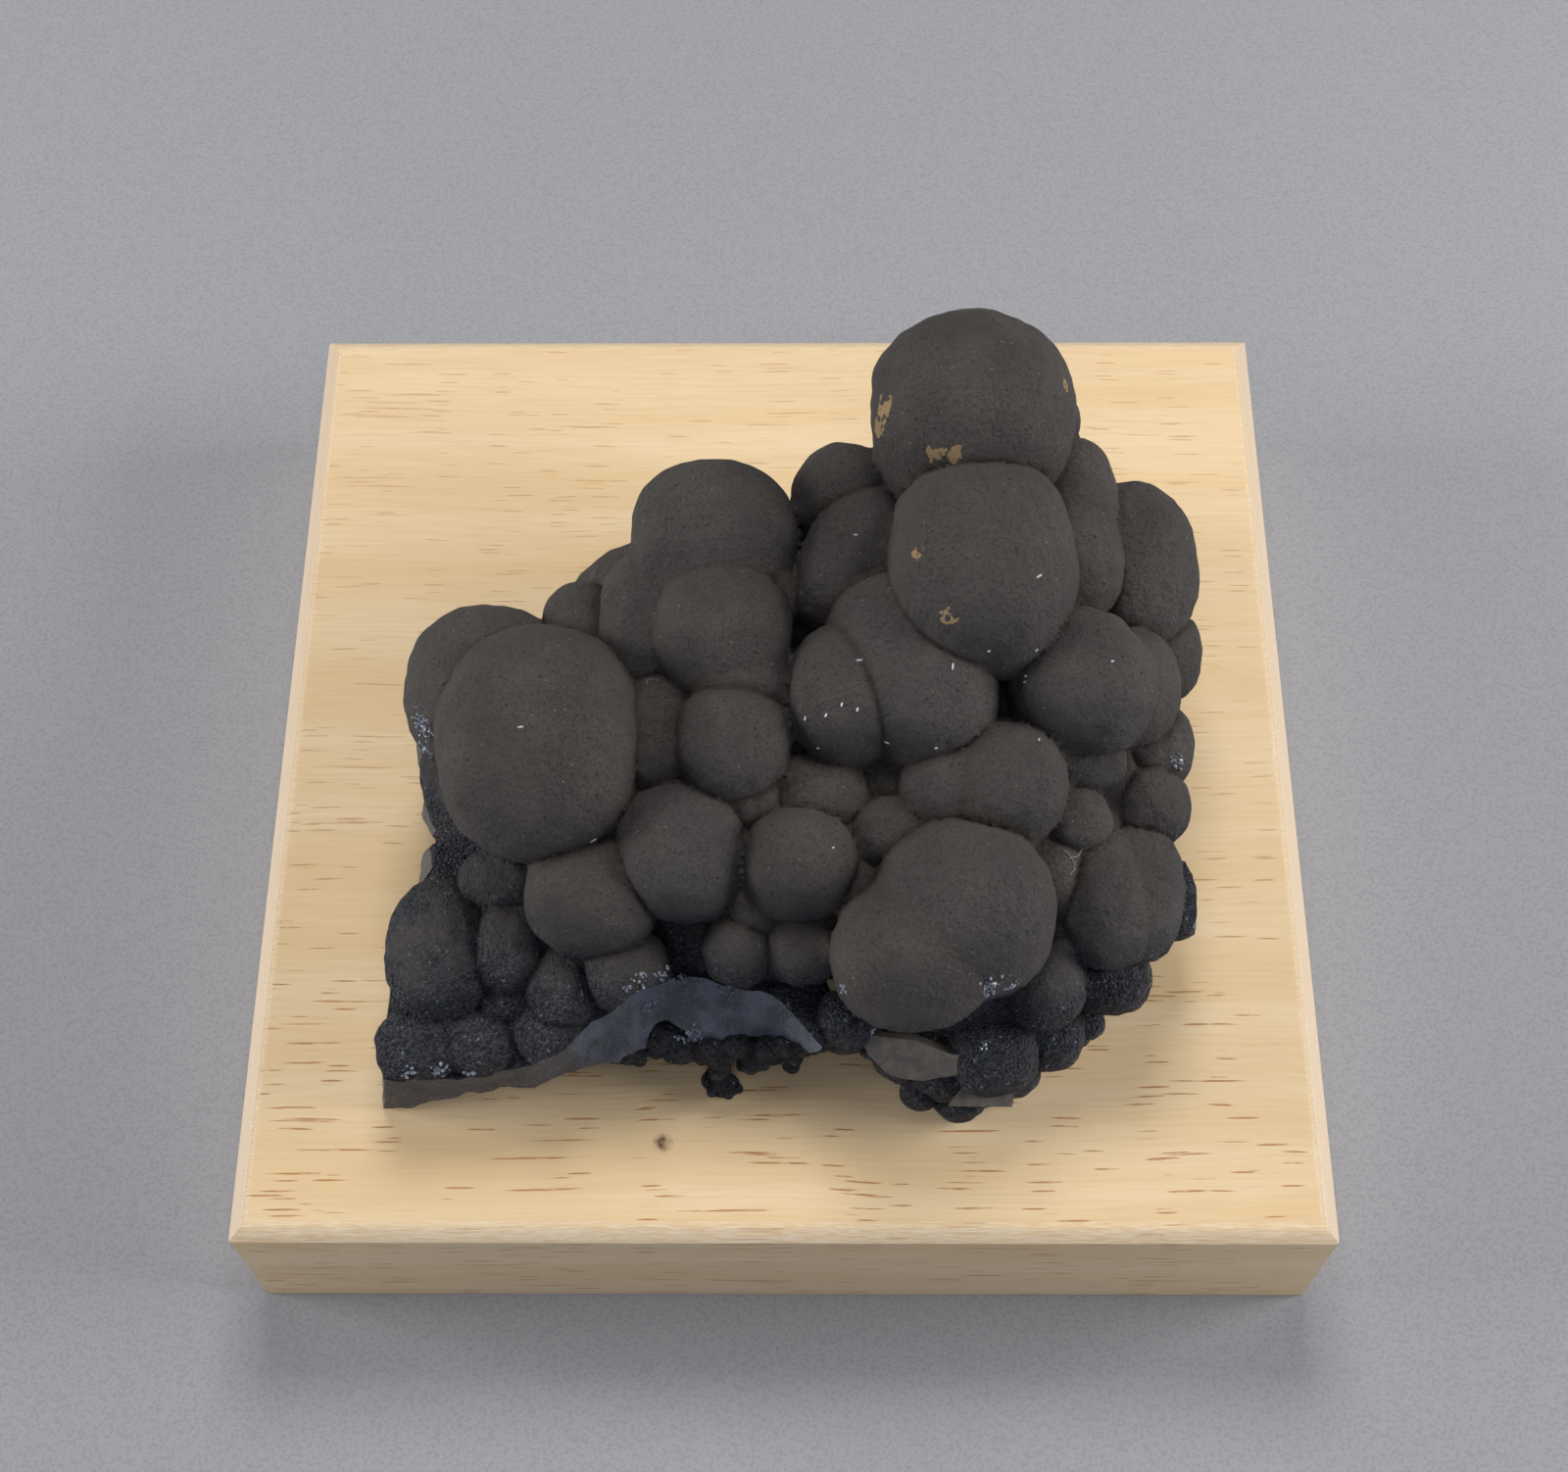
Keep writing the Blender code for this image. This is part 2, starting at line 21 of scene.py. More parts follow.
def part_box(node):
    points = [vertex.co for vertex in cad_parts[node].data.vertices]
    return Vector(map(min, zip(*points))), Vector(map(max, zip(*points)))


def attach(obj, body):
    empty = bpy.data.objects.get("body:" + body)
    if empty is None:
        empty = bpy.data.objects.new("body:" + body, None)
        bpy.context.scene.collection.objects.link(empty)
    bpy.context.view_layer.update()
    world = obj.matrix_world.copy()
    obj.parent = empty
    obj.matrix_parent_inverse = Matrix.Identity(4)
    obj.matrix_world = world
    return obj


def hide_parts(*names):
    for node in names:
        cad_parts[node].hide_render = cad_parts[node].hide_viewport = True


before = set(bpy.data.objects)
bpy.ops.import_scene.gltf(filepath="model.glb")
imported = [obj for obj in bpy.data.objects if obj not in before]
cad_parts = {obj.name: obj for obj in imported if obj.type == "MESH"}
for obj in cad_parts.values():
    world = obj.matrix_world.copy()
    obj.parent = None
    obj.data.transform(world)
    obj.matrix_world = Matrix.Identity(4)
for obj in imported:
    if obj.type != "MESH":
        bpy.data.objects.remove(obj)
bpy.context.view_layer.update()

bl_info = {
    "name": "Romanechite on a pine board",
    "version": (1, 0, 0),
    "blender": (4, 5, 0),
    "location": "3D View > Sidebar > Romanechite",
    "description": "Builds a romanechite specimen, its pine board and a plain stage",
    "category": "Add Mesh",
}

MM = 0.001
BOARD_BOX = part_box("pine_board")
BOARD_SIDE = (BOARD_BOX[1].x - BOARD_BOX[0].x) / MM
BOARD_THICKNESS = BOARD_BOX[1].z / MM
CONTACT_GAP = 0.3
REST_HEIGHT = BOARD_THICKNESS + CONTACT_GAP

# camera that took the photograph: place in mm, degrees down, turn and roll
PHOTO_WIDE = 1600
PHOTO_TALL = 1502
CAMERA_PLACE = (1.88, -111.65, 234.14)
CAMERA_DOWN = 62.357
CAMERA_TURN = -1.0
CAMERA_ROLL = -0.883
CAMERA_FOCUS = 2453.2
SENSOR_WIDE = 36.0
CAMERA_CLIP = 5.0

# skin: gentle dents, pillow shape, groove along each crease, grains low down
DENT_DEPTH = 0.22
DENT_WIDTH = 4.0
PILLOW = 2.25
LARGE_RADIUS = 7.4
SWELL_DEPTH = 0.32
SWELL_WIDTH = 6.0
GROOVE_DEPTH = 0.32
GROOVE_WIDTH = 0.3
KNOB_DEPTH = 0.16
KNOB_WIDTH = 1.5
GRAIN_DEPTH = 0.13
GRAIN_WIDTH = 0.95
MOST_TRIANGLES = 196000

# lumps that run into each other, and how far the dip between them is filled
SOFT_PAIRS = (
    ("apple_back", "apple_front", 1.0), ("heart_left", "heart_right", 0.3),
    ("pillar_top", "pillar_middle", 0.6), ("pillar_top", "pillar_shoulder", 1.0),
    ("pillar_shoulder", "pillar_middle", 0.15), ("pillar_middle", "pillar_waist", 1.0),
    ("rib_middle", "pillar_middle", 0.5), ("rib_middle", "pillar_top", 0.5),
    ("rib_top", "rib_middle", 1.0), ("king_side_back", "king_side_front", 1.0),
    ("globe", "globe_back", 0.5), ("toe_left", "toe_middle", 0.6),
    ("paw_small", "paw_middle", 0.3), ("flank_left", "flank_right", 1.0),
    ("bean_left", "bean_right", 1.0), ("knee", "knee_side", 1.0),
    ("plum", "plum_side", 0.5), ("notch_back", "notch_slant", 0.1),
)
SOFT_WIDTH = 2.6
SOFT_ROUNDS = 140
SOFT_LEAST = 0.01
SOFT_LEFT_OVER = 0.35
SOFTENING = 0.5

# name, centre x y z, half sizes across, deep and tall, lean in degrees
Lump = namedtuple("Lump", "name x y z across deep tall lean")


def lump(name, centre, half_sizes, lean=0.0):
    """One rounded lump; lean turns its long axis towards +X, seen from above."""
    return Lump(name, *centre, *half_sizes, lean)


def crown_and_king():
    """The ball at the back right and the tall lump before it."""
    return [
        lump("crown", (17.5, 18.5, 49.5), (9.5, 9.5, 9.5)),
        lump("crown_ear", (25.5, 20.0, 46.5), (2.6, 2.8, 2.8)),
        lump("king", (18.0, 3.5, 47.5), (8.6, 10.8, 8.4)),
        lump("king_side_back", (27.0, 13.0, 44.0), (4.4, 6.4, 4.4)),
        lump("king_side_front", (27.2, 6.0, 44.5), (4.1, 6.0, 4.0)),
        lump("notch_back", (6.0, 14.0, 42.5), (5.2, 5.2, 5.0)),
        lump("notch_slant", (6.5, 7.5, 43.2), (4.6, 8.8, 4.6), 20.0),
    ]


def east_side():
    """Lumps along the right edge, from the back to the front."""
    return [
        lump("east_high", (33.0, 8.5, 39.0), (6.2, 9.0, 5.8)),
        lump("east_low", (35.8, 1.0, 36.0), (3.6, 5.0, 3.5)),
        lump("knee", (27.0, -6.0, 42.5), (6.6, 6.8, 6.4)),
        lump("knee_side", (32.5, -5.0, 40.0), (4.0, 5.8, 4.0)),
        lump("knee_foot", (27.2, -12.0, 38.5), (4.1, 3.4, 3.2)),
        lump("east_middle", (34.0, -9.0, 36.0), (4.0, 4.6, 3.8)),
        lump("east_cheek", (33.5, -15.0, 35.5), (3.9, 3.9, 3.8)),
        lump("wedge", (29.0, -14.5, 36.5), (2.6, 2.8, 2.5)),
        lump("pea", (26.5, -18.0, 38.0), (3.2, 3.2, 3.1)),
        lump("saddle", (24.3, -21.5, 35.8), (3.8, 5.0, 3.8)),
        lump("flank_left", (29.3, -24.3, 35.6), (4.3, 6.7, 4.2)),
        lump("flank_right", (32.2, -23.2, 34.8), (4.2, 6.5, 4.2)),
        lump("east_dark", (36.3, -21.0, 28.0), (3.0, 4.0, 3.0)),
    ]


def middle_right():
    """The pair under the tall lump and the round pair at the front."""
    return [
        lump("heart_right", (11.5, -5.0, 43.5), (7.3, 9.8, 6.4), -24.0),
        lump("heart_left", (6.0, -7.5, 43.5), (5.5, 6.8, 5.2)),
        lump("heart_foot", (8.5, -14.5, 38.3), (4.2, 3.2, 3.2)),
        lump("heart_bead", (12.0, -15.5, 38.0), (2.2, 2.2, 2.2)),
        lump("bean_left", (15.0, -15.5, 40.5), (4.6, 4.5, 4.4)),
        lump("bean_right", (20.2, -15.5, 41.0), (5.4, 5.6, 5.3)),
        lump("bean_nub", (19.5, -11.0, 41.0), (2.3, 2.3, 2.3)),
        lump("apple_back", (16.0, -26.5, 38.0), (8.2, 7.9, 7.9)),
        lump("apple_front", (11.5, -30.5, 37.5), (7.3, 6.7, 6.6)),
        lump("bud_back", (9.5, -19.5, 39.0), (3.6, 3.5, 3.5)),
        lump("bud_front", (6.5, -24.0, 37.5), (2.5, 3.5, 2.8)),
        lump("plum", (1.5, -22.5, 39.0), (5.2, 5.1, 5.1)),
        lump("plum_back", (3.5, -15.8, 39.0), (5.0, 4.0, 4.0)),
        lump("plum_side", (-2.5, -24.5, 36.0), (2.9, 3.7, 3.0)),
        lump("drop_left", (-4.0, -28.6, 34.4), (3.2, 3.2, 3.2)),
        lump("drop_right", (1.8, -28.6, 34.7), (3.4, 3.4, 3.4)),
    ]


def pillar():
    """The upright row left of the deep cleft, with its narrow rib."""
    return [
        lump("pillar_top", (-6.5, 8.8, 43.0), (7.9, 7.8, 7.6)),
        lump("pillar_shoulder", (-1.2, 3.0, 42.5), (2.9, 3.6, 3.2)),
        lump("pillar_middle", (-5.5, -1.5, 43.6), (6.4, 6.4, 6.0)),
        lump("pillar_waist", (-4.0, -7.0, 42.0), (5.2, 5.0, 4.8)),
        lump("pillar_low", (-4.5, -11.5, 42.0), (5.4, 6.2, 5.2)),
        lump("pillar_heel", (-2.8, -14.5, 39.5), (3.7, 5.0, 3.6)),
        lump("rib_top", (-15.5, 5.5, 40.0), (3.0, 3.0, 3.0)),
        lump("rib_middle", (-12.8, 1.0, 41.5), (4.6, 7.0, 4.6)),
        lump("rib_low", (-11.2, -10.0, 40.8), (3.6, 6.2, 3.6)),
        lump("fist", (-9.0, -21.0, 38.5), (5.9, 6.4, 5.8)),
    ]


def left_side():
    """The big globe and the low paws in front of it."""
    return [
        lump("globe", (-22.0, -11.3, 41.0), (9.4, 11.0, 8.7)),
        lump("globe_back", (-27.4, -4.4, 38.0), (7.8, 8.0, 7.7)),
        lump("stud", (-18.5, 1.0, 40.0), (4.0, 4.6, 4.0)),
        lump("loaf", (-17.0, -24.5, 36.5), (6.2, 5.3, 5.1)),
        lump("loaf_back", (-25.3, -21.3, 33.0), (4.4, 3.4, 3.2)),
        lump("paw_big", (-31.0, -27.0, 30.2), (5.2, 7.0, 4.8)),
        lump("paw_middle", (-24.8, -27.2, 31.0), (4.2, 4.8, 4.1)),
        lump("paw_small", (-24.8, -32.0, 29.3), (2.9, 2.5, 2.5)),
        lump("paw_right", (-20.0, -30.4, 30.8), (3.4, 4.7, 3.5)),
        lump("paw_inner", (-13.8, -29.8, 32.2), (4.1, 3.9, 3.9)),
        lump("toe_left", (-33.0, -35.3, 27.6), (4.6, 3.5, 3.2)),
        lump("toe_middle", (-27.0, -35.0, 27.8), (4.2, 3.4, 3.2)),
        lump("toe_end", (-21.0, -34.3, 28.5), (4.0, 3.6, 3.4)),
    ]


def chin():
    """Small lumps at the lower front right, the lowest on the board."""
    return [
        lump("chin_right", (23.5, -30.5, 32.0), (3.9, 4.7, 4.1)),
        lump("flank_low", (29.5, -29.0, 29.2), (3.9, 3.7, 3.8)),
        lump("chin_low", (24.5, -33.2, 26.0), (3.3, 3.7, 3.4)),
        lump("chin_middle", (19.0, -35.3, 27.0), (4.2, 4.4, 4.2)),
        lump("chin_mass", (16.0, -34.5, 23.5), (6.0, 4.6, 4.6)),
        lump("chin_left", (11.5, -34.8, 24.6), (3.4, 3.0, 3.0)),
        lump("flake", (11.5, -35.2, 27.8), (4.9, 1.9, 0.7)),
        lump("chip", (17.6, -38.0, 23.0), (3.2, 1.5, 0.6)),
        lump("chin_knob", (12.5, -37.6, 22.0), (1.9, 1.7, 2.4)),
        lump("chin_tip", (16.3, -38.0, 21.2), (2.3, 2.0, 2.2)),
        lump("chin_side", (21.0, -35.8, 22.3), (3.0, 2.4, 2.8)),
        lump("chin_bead", (28.3, -32.0, 24.6), (1.5, 1.5, 1.5)),
        lump("chin_heel", (26.0, -30.5, 22.5), (3.4, 3.2, 3.4)),
        lump("jaw", (5.5, -33.3, 28.8), (3.0, 2.7, 3.4)),
        lump("jaw_side", (2.0, -33.0, 28.7), (2.3, 2.1, 2.3)),
    ]


def core():
    """The mass under the lumps, which shows only in the clefts."""
    return [
        lump("core_back_right", (18.0, 9.0, 33.0), (15.0, 14.0, 14.0)),
        lump("core_right", (24.5, -8.0, 30.0), (13.3, 15.0, 10.5)),
        lump("core_front_right", (18.0, -23.0, 27.5), (13.5, 12.0, 9.5)),
        lump("core_middle", (0.0, -2.0, 29.5), (13.0, 16.0, 10.5)),
        lump("core_back_left", (-10.0, 5.0, 30.5), (12.0, 9.5, 11.5)),
        lump("core_left", (-21.0, -7.0, 29.5), (14.5, 12.5, 10.5)),
        lump("pillar_spine", (-8.0, -3.0, 38.0), (6.5, 14.0, 5.0)),
        lump("front_bridge", (-2.0, -22.5, 30.6), (11.0, 8.5, 4.6)),
        lump("wing", (-20.0, -25.0, 27.4), (17.5, 14.0, 3.8)),
        lump("plate_left", (-29.0, -36.0, 25.2), (16.0, 9.0, 2.8)),
        lump("wing_foot", (-35.0, -35.0, 22.0), (9.0, 9.0, 5.6)),
        lump("plate_inner", (-16.5, -33.0, 27.6), (7.0, 6.5, 3.0)),
        lump("plate_front", (-5.5, -32.5, 29.0), (10.5, 6.0, 3.2)),
    ]


# centres of the lumps behind and beside the specimen, left rim to right front
REAR_ROUTE = [
    (-31.0, -4.0), (-27.0, 2.0), (-20.0, 5.5), (-13.0, 9.0), (-6.0, 14.0),
    (2.0, 17.0), (9.0, 21.0), (17.0, 23.0), (25.0, 21.0), (31.0, 15.5),
    (34.0, 8.0), (34.5, 0.0), (34.0, -8.5), (32.0, -16.0),
]
# tier: height, distance inside the route, mean half size, first and last stop
REAR_TIERS = [(22.5, 0.0, 4.2, 0, 13), (28.5, 0.8, 4.5, 0, 13), (34.5, 3.2, 4.2, 2, 9)]
REAR_MIDDLE = (2.0, -4.0)
REAR_SIZE_SPREAD = 1.2
REAR_SHIFT = 0.9
REAR_SEED = 7


def rear_lumps():
    """Tiers of lumps that finish the back and both sides."""
    dice = random.Random(REAR_SEED)
    middle = Vector(REAR_MIDDLE)
    lumps = []
    for tier, (height, inset, size, first, last) in enumerate(REAR_TIERS):
        for step in range(first, last + 1):
            stop = Vector(REAR_ROUTE[step])
            place = stop + (middle - stop).normalized() * inset
            half = size + dice.uniform(-REAR_SIZE_SPREAD, REAR_SIZE_SPREAD)
            shift = [dice.uniform(-REAR_SHIFT, REAR_SHIFT) for _ in range(3)]
            lumps.append(lump(
                f"rear_{tier}_{step}",
                (place.x + shift[0], place.y + shift[1], height + shift[2]),
                (half, half, half)))
    return lumps


BEAD_SEED = 11
BEADS_PER_GRAPE = 7
BEAD_RADIUS = (0.42, 0.8)
# lowest and highest a bead sits on its lump: -1 at its foot, 1 at its top
BEAD_SINK = (-0.6, 0.5)


def beard():
    """Grape-like lumps that hang under the broken front edge."""
    grapes = [
        lump("beard_root", (-5.0, -30.3, 26.8), (7.2, 3.2, 2.4)),
        lump("grape_1", (-11.2, -33.6, 25.6), (1.8, 1.6, 1.8)),
        lump("grape_2", (-9.3, -34.4, 25.0), (1.6, 1.5, 1.7)),
        lump("grape_3", (-6.6, -34.4, 25.2), (1.6, 1.5, 1.8)),
        lump("grape_4", (-4.4, -34.2, 25.6), (1.4, 1.4, 1.6)),
        lump("grape_5", (-1.6, -34.6, 24.9), (1.3, 1.3, 1.6)),
        lump("grape_6", (0.2, -34.4, 25.2), (1.2, 1.2, 1.6)),
        lump("grape_7", (2.6, -34.0, 25.6), (1.3, 1.3, 1.7)),
        lump("grape_8", (-2.9, -35.0, 23.9), (1.2, 1.1, 1.3)),
        lump("grape_9", (0.9, -34.8, 24.0), (1.1, 1.1, 1.4)),
        lump("grape_10", (-14.2, -34.6, 24.4), (1.3, 1.3, 1.9)),
        lump("grape_11", (-15.9, -34.2, 24.5), (1.1, 1.1, 1.6)),
        lump("stalk", (-5.6, -35.6, 23.0), (0.9, 1.1, 1.9)),
        lump("drip", (-5.5, -36.6, 20.9), (1.5, 1.2, 1.2)),
    ]
    dice = random.Random(BEAD_SEED)
    beads = []
    for grape in grapes:
        for k in range(BEADS_PER_GRAPE):
            angle = dice.uniform(0.0, 2.0 * math.pi)
            sink = dice.uniform(*BEAD_SINK)
            flat = math.sqrt(1.0 - sink * sink)
            size = dice.uniform(*BEAD_RADIUS)
            beads.append(lump(
                f"{grape.name}_bead_{k}",
                (grape.x + grape.across * flat * math.cos(angle),
                 grape.y + grape.deep * flat * math.sin(angle),
                 grape.z + grape.tall * sink),
                (size, size, size)))
    return grapes + beads


# broken front edge: upper and lower edge of the fracture, left to right
FRONT_UPPER = [
    (-42.0, -37.6, 25.6), (-36.0, -37.5, 25.7), (-29.3, -37.7, 26.3), (-23.0, -37.0, 27.6),
    (-19.5, -35.5, 28.5), (-17.5, -34.0, 29.5), (-15.5, -32.8, 30.5), (-13.0, -31.0, 31.5),
    (-9.5, -30.2, 32.0), (-5.0, -30.9, 31.5), (-1.0, -31.3, 31.0), (1.5, -33.0, 29.5),
    (4.0, -36.5, 29.0),
]
FRONT_LOWER = [
    (-42.0, -38.6, 19.0), (-36.0, -38.6, 19.0), (-29.5, -37.5, 20.7), (-23.0, -37.5, 23.0),
    (-19.5, -36.3, 24.7), (-17.5, -36.0, 25.7), (-15.0, -35.7, 26.2), (-13.0, -35.0, 26.6),
    (-9.5, -33.8, 28.2), (-5.5, -34.1, 27.5), (-1.0, -33.5, 27.8), (1.5, -34.5, 27.5),
    (4.0, -38.0, 27.0),
]

# broken left rim, back to front
LEFT_UPPER = [
    (-34.0, 8.0, 34.0), (-34.2, 1.0, 33.0), (-33.8, -4.5, 32.5), (-32.2, -9.0, 31.5),
    (-32.4, -12.0, 31.0), (-32.6, -18.5, 30.0), (-35.0, -23.0, 30.0), (-35.6, -27.0, 30.0),
    (-36.4, -34.0, 29.0), (-35.8, -44.0, 28.0),
]
LEFT_LOWER = [
    (-37.0, 8.0, 28.0), (-36.8, 1.0, 28.5), (-36.6, -4.5, 28.0), (-34.2, -9.0, 27.5),
    (-34.7, -12.0, 27.0), (-34.5, -18.5, 26.5), (-35.9, -23.0, 26.5), (-36.0, -27.0, 26.5),
    (-36.9, -34.0, 23.0), (-36.7, -44.0, 19.0),
]

# broken right rim, back to front
RIGHT_UPPER = [
    (38.6, 8.0, 31.0), (37.4, 1.0, 31.0), (37.6, -6.0, 31.0), (38.2, -10.0, 30.0),
    (37.4, -16.0, 30.0), (37.8, -27.0, 29.0),
]
RIGHT_LOWER = [
    (40.0, 8.0, 27.0), (38.8, 1.0, 27.0), (39.4, -6.0, 26.5), (39.6, -10.0, 26.0),
    (38.6, -16.0, 26.0), (39.0, -27.0, 25.0),
]

# ruled faces of a break: sections along it, rows across it, waves and ragged rim
BREAK_SECTIONS = 150
BREAK_ROWS = 10
BREAK_WAVES = ((0.4, 2.6), (0.16, 0.9))
BREAK_RAGGED = 0.35
BREAK_RAGGED_WIDTH = 1.1
FRACTURE_TOP = (5.0, 9.0)
FRACTURE_FOOT = (1.5, -6.0)
FRACTURE_REACH = 30.0

# hollow below the front left: its plan, back wall and roof
HOLLOW_LEFT = -46.0
HOLLOW_RIGHT = 7.0
HOLLOW_FRONT = -60.0
HOLLOW_EDGE = -36.0
HOLLOW_BACK_LEFT = -12.0
HOLLOW_BACK_RIGHT = -22.0
HOLLOW_FLOOR = 5.0
HOLLOW_COLUMNS = 60
HOLLOW_ROWS = 26
ROOF_AT_WING = 19.0
ROOF_AT_MIDDLE = 26.3
ROOF_RISE_LEFT = -36.0
ROOF_RISE_RIGHT = -12.0
ROOF_DOME = 2.0
ROOF_BUMPS = 0.6
WALL_BUMPS = 1.5
FINE_BUMPS = 0.45
FINE_BUMP_WIDTH = 1.5

ARCH_CENTRE = (-10.4, -34.5, 26.0)
ARCH_HALF_SIZES = (2.1, 4.0, 2.7)


# broken chips with flat faces: corners of the face and the way to its back, in mm
CHIPS = (
    (((7.0, -35.0, 29.0), (8.3, -35.0, 29.5), (11.9, -35.5, 29.7), (13.5, -36.1, 29.6),
      (15.0, -36.7, 29.5), (16.1, -36.9, 29.5), (15.7, -38.3, 28.2), (14.1, -38.4, 27.9),
      (12.7, -38.6, 27.6), (10.7, -38.4, 27.6), (9.3, -37.9, 27.8), (7.7, -36.4, 28.5)),
     (0.2, 1.4, -1.6)),
    (((15.0, -40.2, 25.3), (20.8, -40.2, 25.1), (21.2, -38.6, 25.6), (16.4, -38.4, 25.8)),
     (0.1, 0.6, -1.2)),
)


def noise_at(points, width, offset=0.0):
    """Smooth noise from -1 to 1 at each row of points, with lumps of that width."""
    scaled = points / width + offset
    return np.array([noise.noise(Vector(row)) for row in scaled])


def smooth_step(low, high, values):
    """0 below low, 1 above high, with a soft change between."""
    share = np.clip((values - low) / (high - low), 0.0, 1.0)
    return share * share * (3.0 - 2.0 * share)


def lump_turn(item):
    """Rows that turn a lump's own axes to the frame's."""
    return np.array(Matrix.Rotation(-math.radians(item.lean), 3, "Z"))


def unit_ball(level):
    """Points and triangles of a ball with radius 1."""
    mesh = bmesh.new()
    bmesh.ops.create_icosphere(mesh, subdivisions=level, radius=1.0)
    points = np.array([tuple(vertex.co) for vertex in mesh.verts])
    faces = np.array([[vertex.index for vertex in face.verts] for face in mesh.faces])
    mesh.free()
    return points, faces


SPECIMEN_MATERIALS = ("romanechite_velvet_skin", "romanechite_fresh_break",
                      "romanechite_smooth_chip")


def linked(name, data):
    """New object with that data, linked to the scene."""
    item = bpy.data.objects.new(name, data)
    bpy.context.scene.collection.objects.link(item)
    return item


def mesh_from_arrays(name, points, faces, material_index=0):
    """Linked object from points in millimetres and triangles or quads."""
    data = bpy.data.meshes.new(name)
    data.from_pydata((np.asarray(points) * MM).tolist(), [], [tuple(face) for face in faces])
    for material in SPECIMEN_MATERIALS:
        data.materials.append(material_named(material))
    for polygon in data.polygons:
        polygon.material_index = material_index
    return linked(name, data)


def material_named(name):
    """The material of that name, made empty if it isn't there yet."""
    return bpy.data.materials.get(name) or bpy.data.materials.new(name)


def lump_shells(name, lumps, levels=(4, 5)):
    """All lumps of a list as separate closed shells in one object."""
    balls = [unit_ball(level) for level in levels]
    points = []
    faces = []
    first = 0
    for item in lumps:
        half = np.array((item.across, item.deep, item.tall))
        ball, triangles = balls[1] if half.max() > LARGE_RADIUS else balls[0]
        fullness = (np.abs(ball) ** PILLOW).sum(1) ** (-1.0 / PILLOW)
        turn = lump_turn(item)
        skin = (ball * fullness[:, None] * half) @ turn.T + (item.x, item.y, item.z)
        skin += (ball @ turn.T) * (DENT_DEPTH * noise_at(skin, DENT_WIDTH))[:, None]
        points.append(skin)
        faces.append(triangles + first)
        first += len(skin)
    return mesh_from_arrays(name, np.vstack(points), np.vstack(faces))


def applied(item):
    """Replace the object's mesh by its mesh with all modifiers applied."""
    graph = bpy.context.evaluated_depsgraph_get()
    data = bpy.data.meshes.new_from_object(item.evaluated_get(graph), depsgraph=graph)
    old = item.data
    item.modifiers.clear()
    item.data = data
    bpy.data.meshes.remove(old)
    return item


def add_voxel_union(item, voxel):
    """Melt all overlapping shells into one skin."""
    step = item.modifiers.new("voxel union", "REMESH")
    step.mode = "VOXEL"
    step.voxel_size = voxel * MM


def add_softening(item, rounds, group=""):
    """Round the bottom of each crease a little, or only where the group says."""
    step = item.modifiers.new("softening", "SMOOTH")
    step.factor = SOFTENING
    step.iterations = rounds
    step.vertex_group = group


def add_boolean(item, operation, operand):
    """Join an operand to the object, or cut it away."""
    operand.hide_render = True
    operand.hide_viewport = True
    step = item.modifiers.new(f"{operation.lower()} {operand.name}", "BOOLEAN")
    step.operation = operation
    step.solver = "MANIFOLD"
    step.object = operand


def keep_outer_skin(item):
    """Drop chips and pockets closed in between lumps."""
    mesh = bmesh.new()
    mesh.from_mesh(item.data)
    waiting = set(mesh.faces)
    largest = []
    spare = []
    while waiting:
        front = [waiting.pop()]
        part = []
        while front:
            face = front.pop()
            part.append(face)
            for edge in face.edges:
                for other in edge.link_faces:
                    if other in waiting:
                        waiting.remove(other)
                        front.append(other)
        if len(part) > len(largest):
            part, largest = largest, part
        spare.extend(part)
    bmesh.ops.delete(mesh, geom=spare, context="FACES")
    mesh.to_mesh(item.data)
    mesh.free()


def tube_of_sections(name, sections, material_index):
    """Closed solid through rings of points with the same count."""
    count = len(sections[0])
    points = np.array(sections).reshape(-1, 3)
    faces = []
    for k in range(len(sections) - 1):
        for step in range(count):
            after = (step + 1) % count
            low = k * count
            high = low + count
            faces.append((low + step, low + after, high + after, high + step))
    faces.append(tuple(range(count)))
    faces.append(tuple(range(len(points) - 1, len(points) - 1 - count, -1)))
    item = mesh_from_arrays(name, points, faces, material_index)
    mesh = bmesh.new()
    mesh.from_mesh(item.data)
    bmesh.ops.recalc_face_normals(mesh, faces=mesh.faces)
    mesh.to_mesh(item.data)
    mesh.free()
    return item


def spread_along(edge, count):
    """Points at even steps along a line of corners."""
    corners = np.array(edge)
    lengths = np.linalg.norm(np.diff(corners, axis=0), axis=1)
    places = np.concatenate(([0.0], np.cumsum(lengths)))
    wanted = np.linspace(0.0, places[-1], count)
    return np.stack([np.interp(wanted, places, corners[:, axis]) for axis in range(3)], 1)


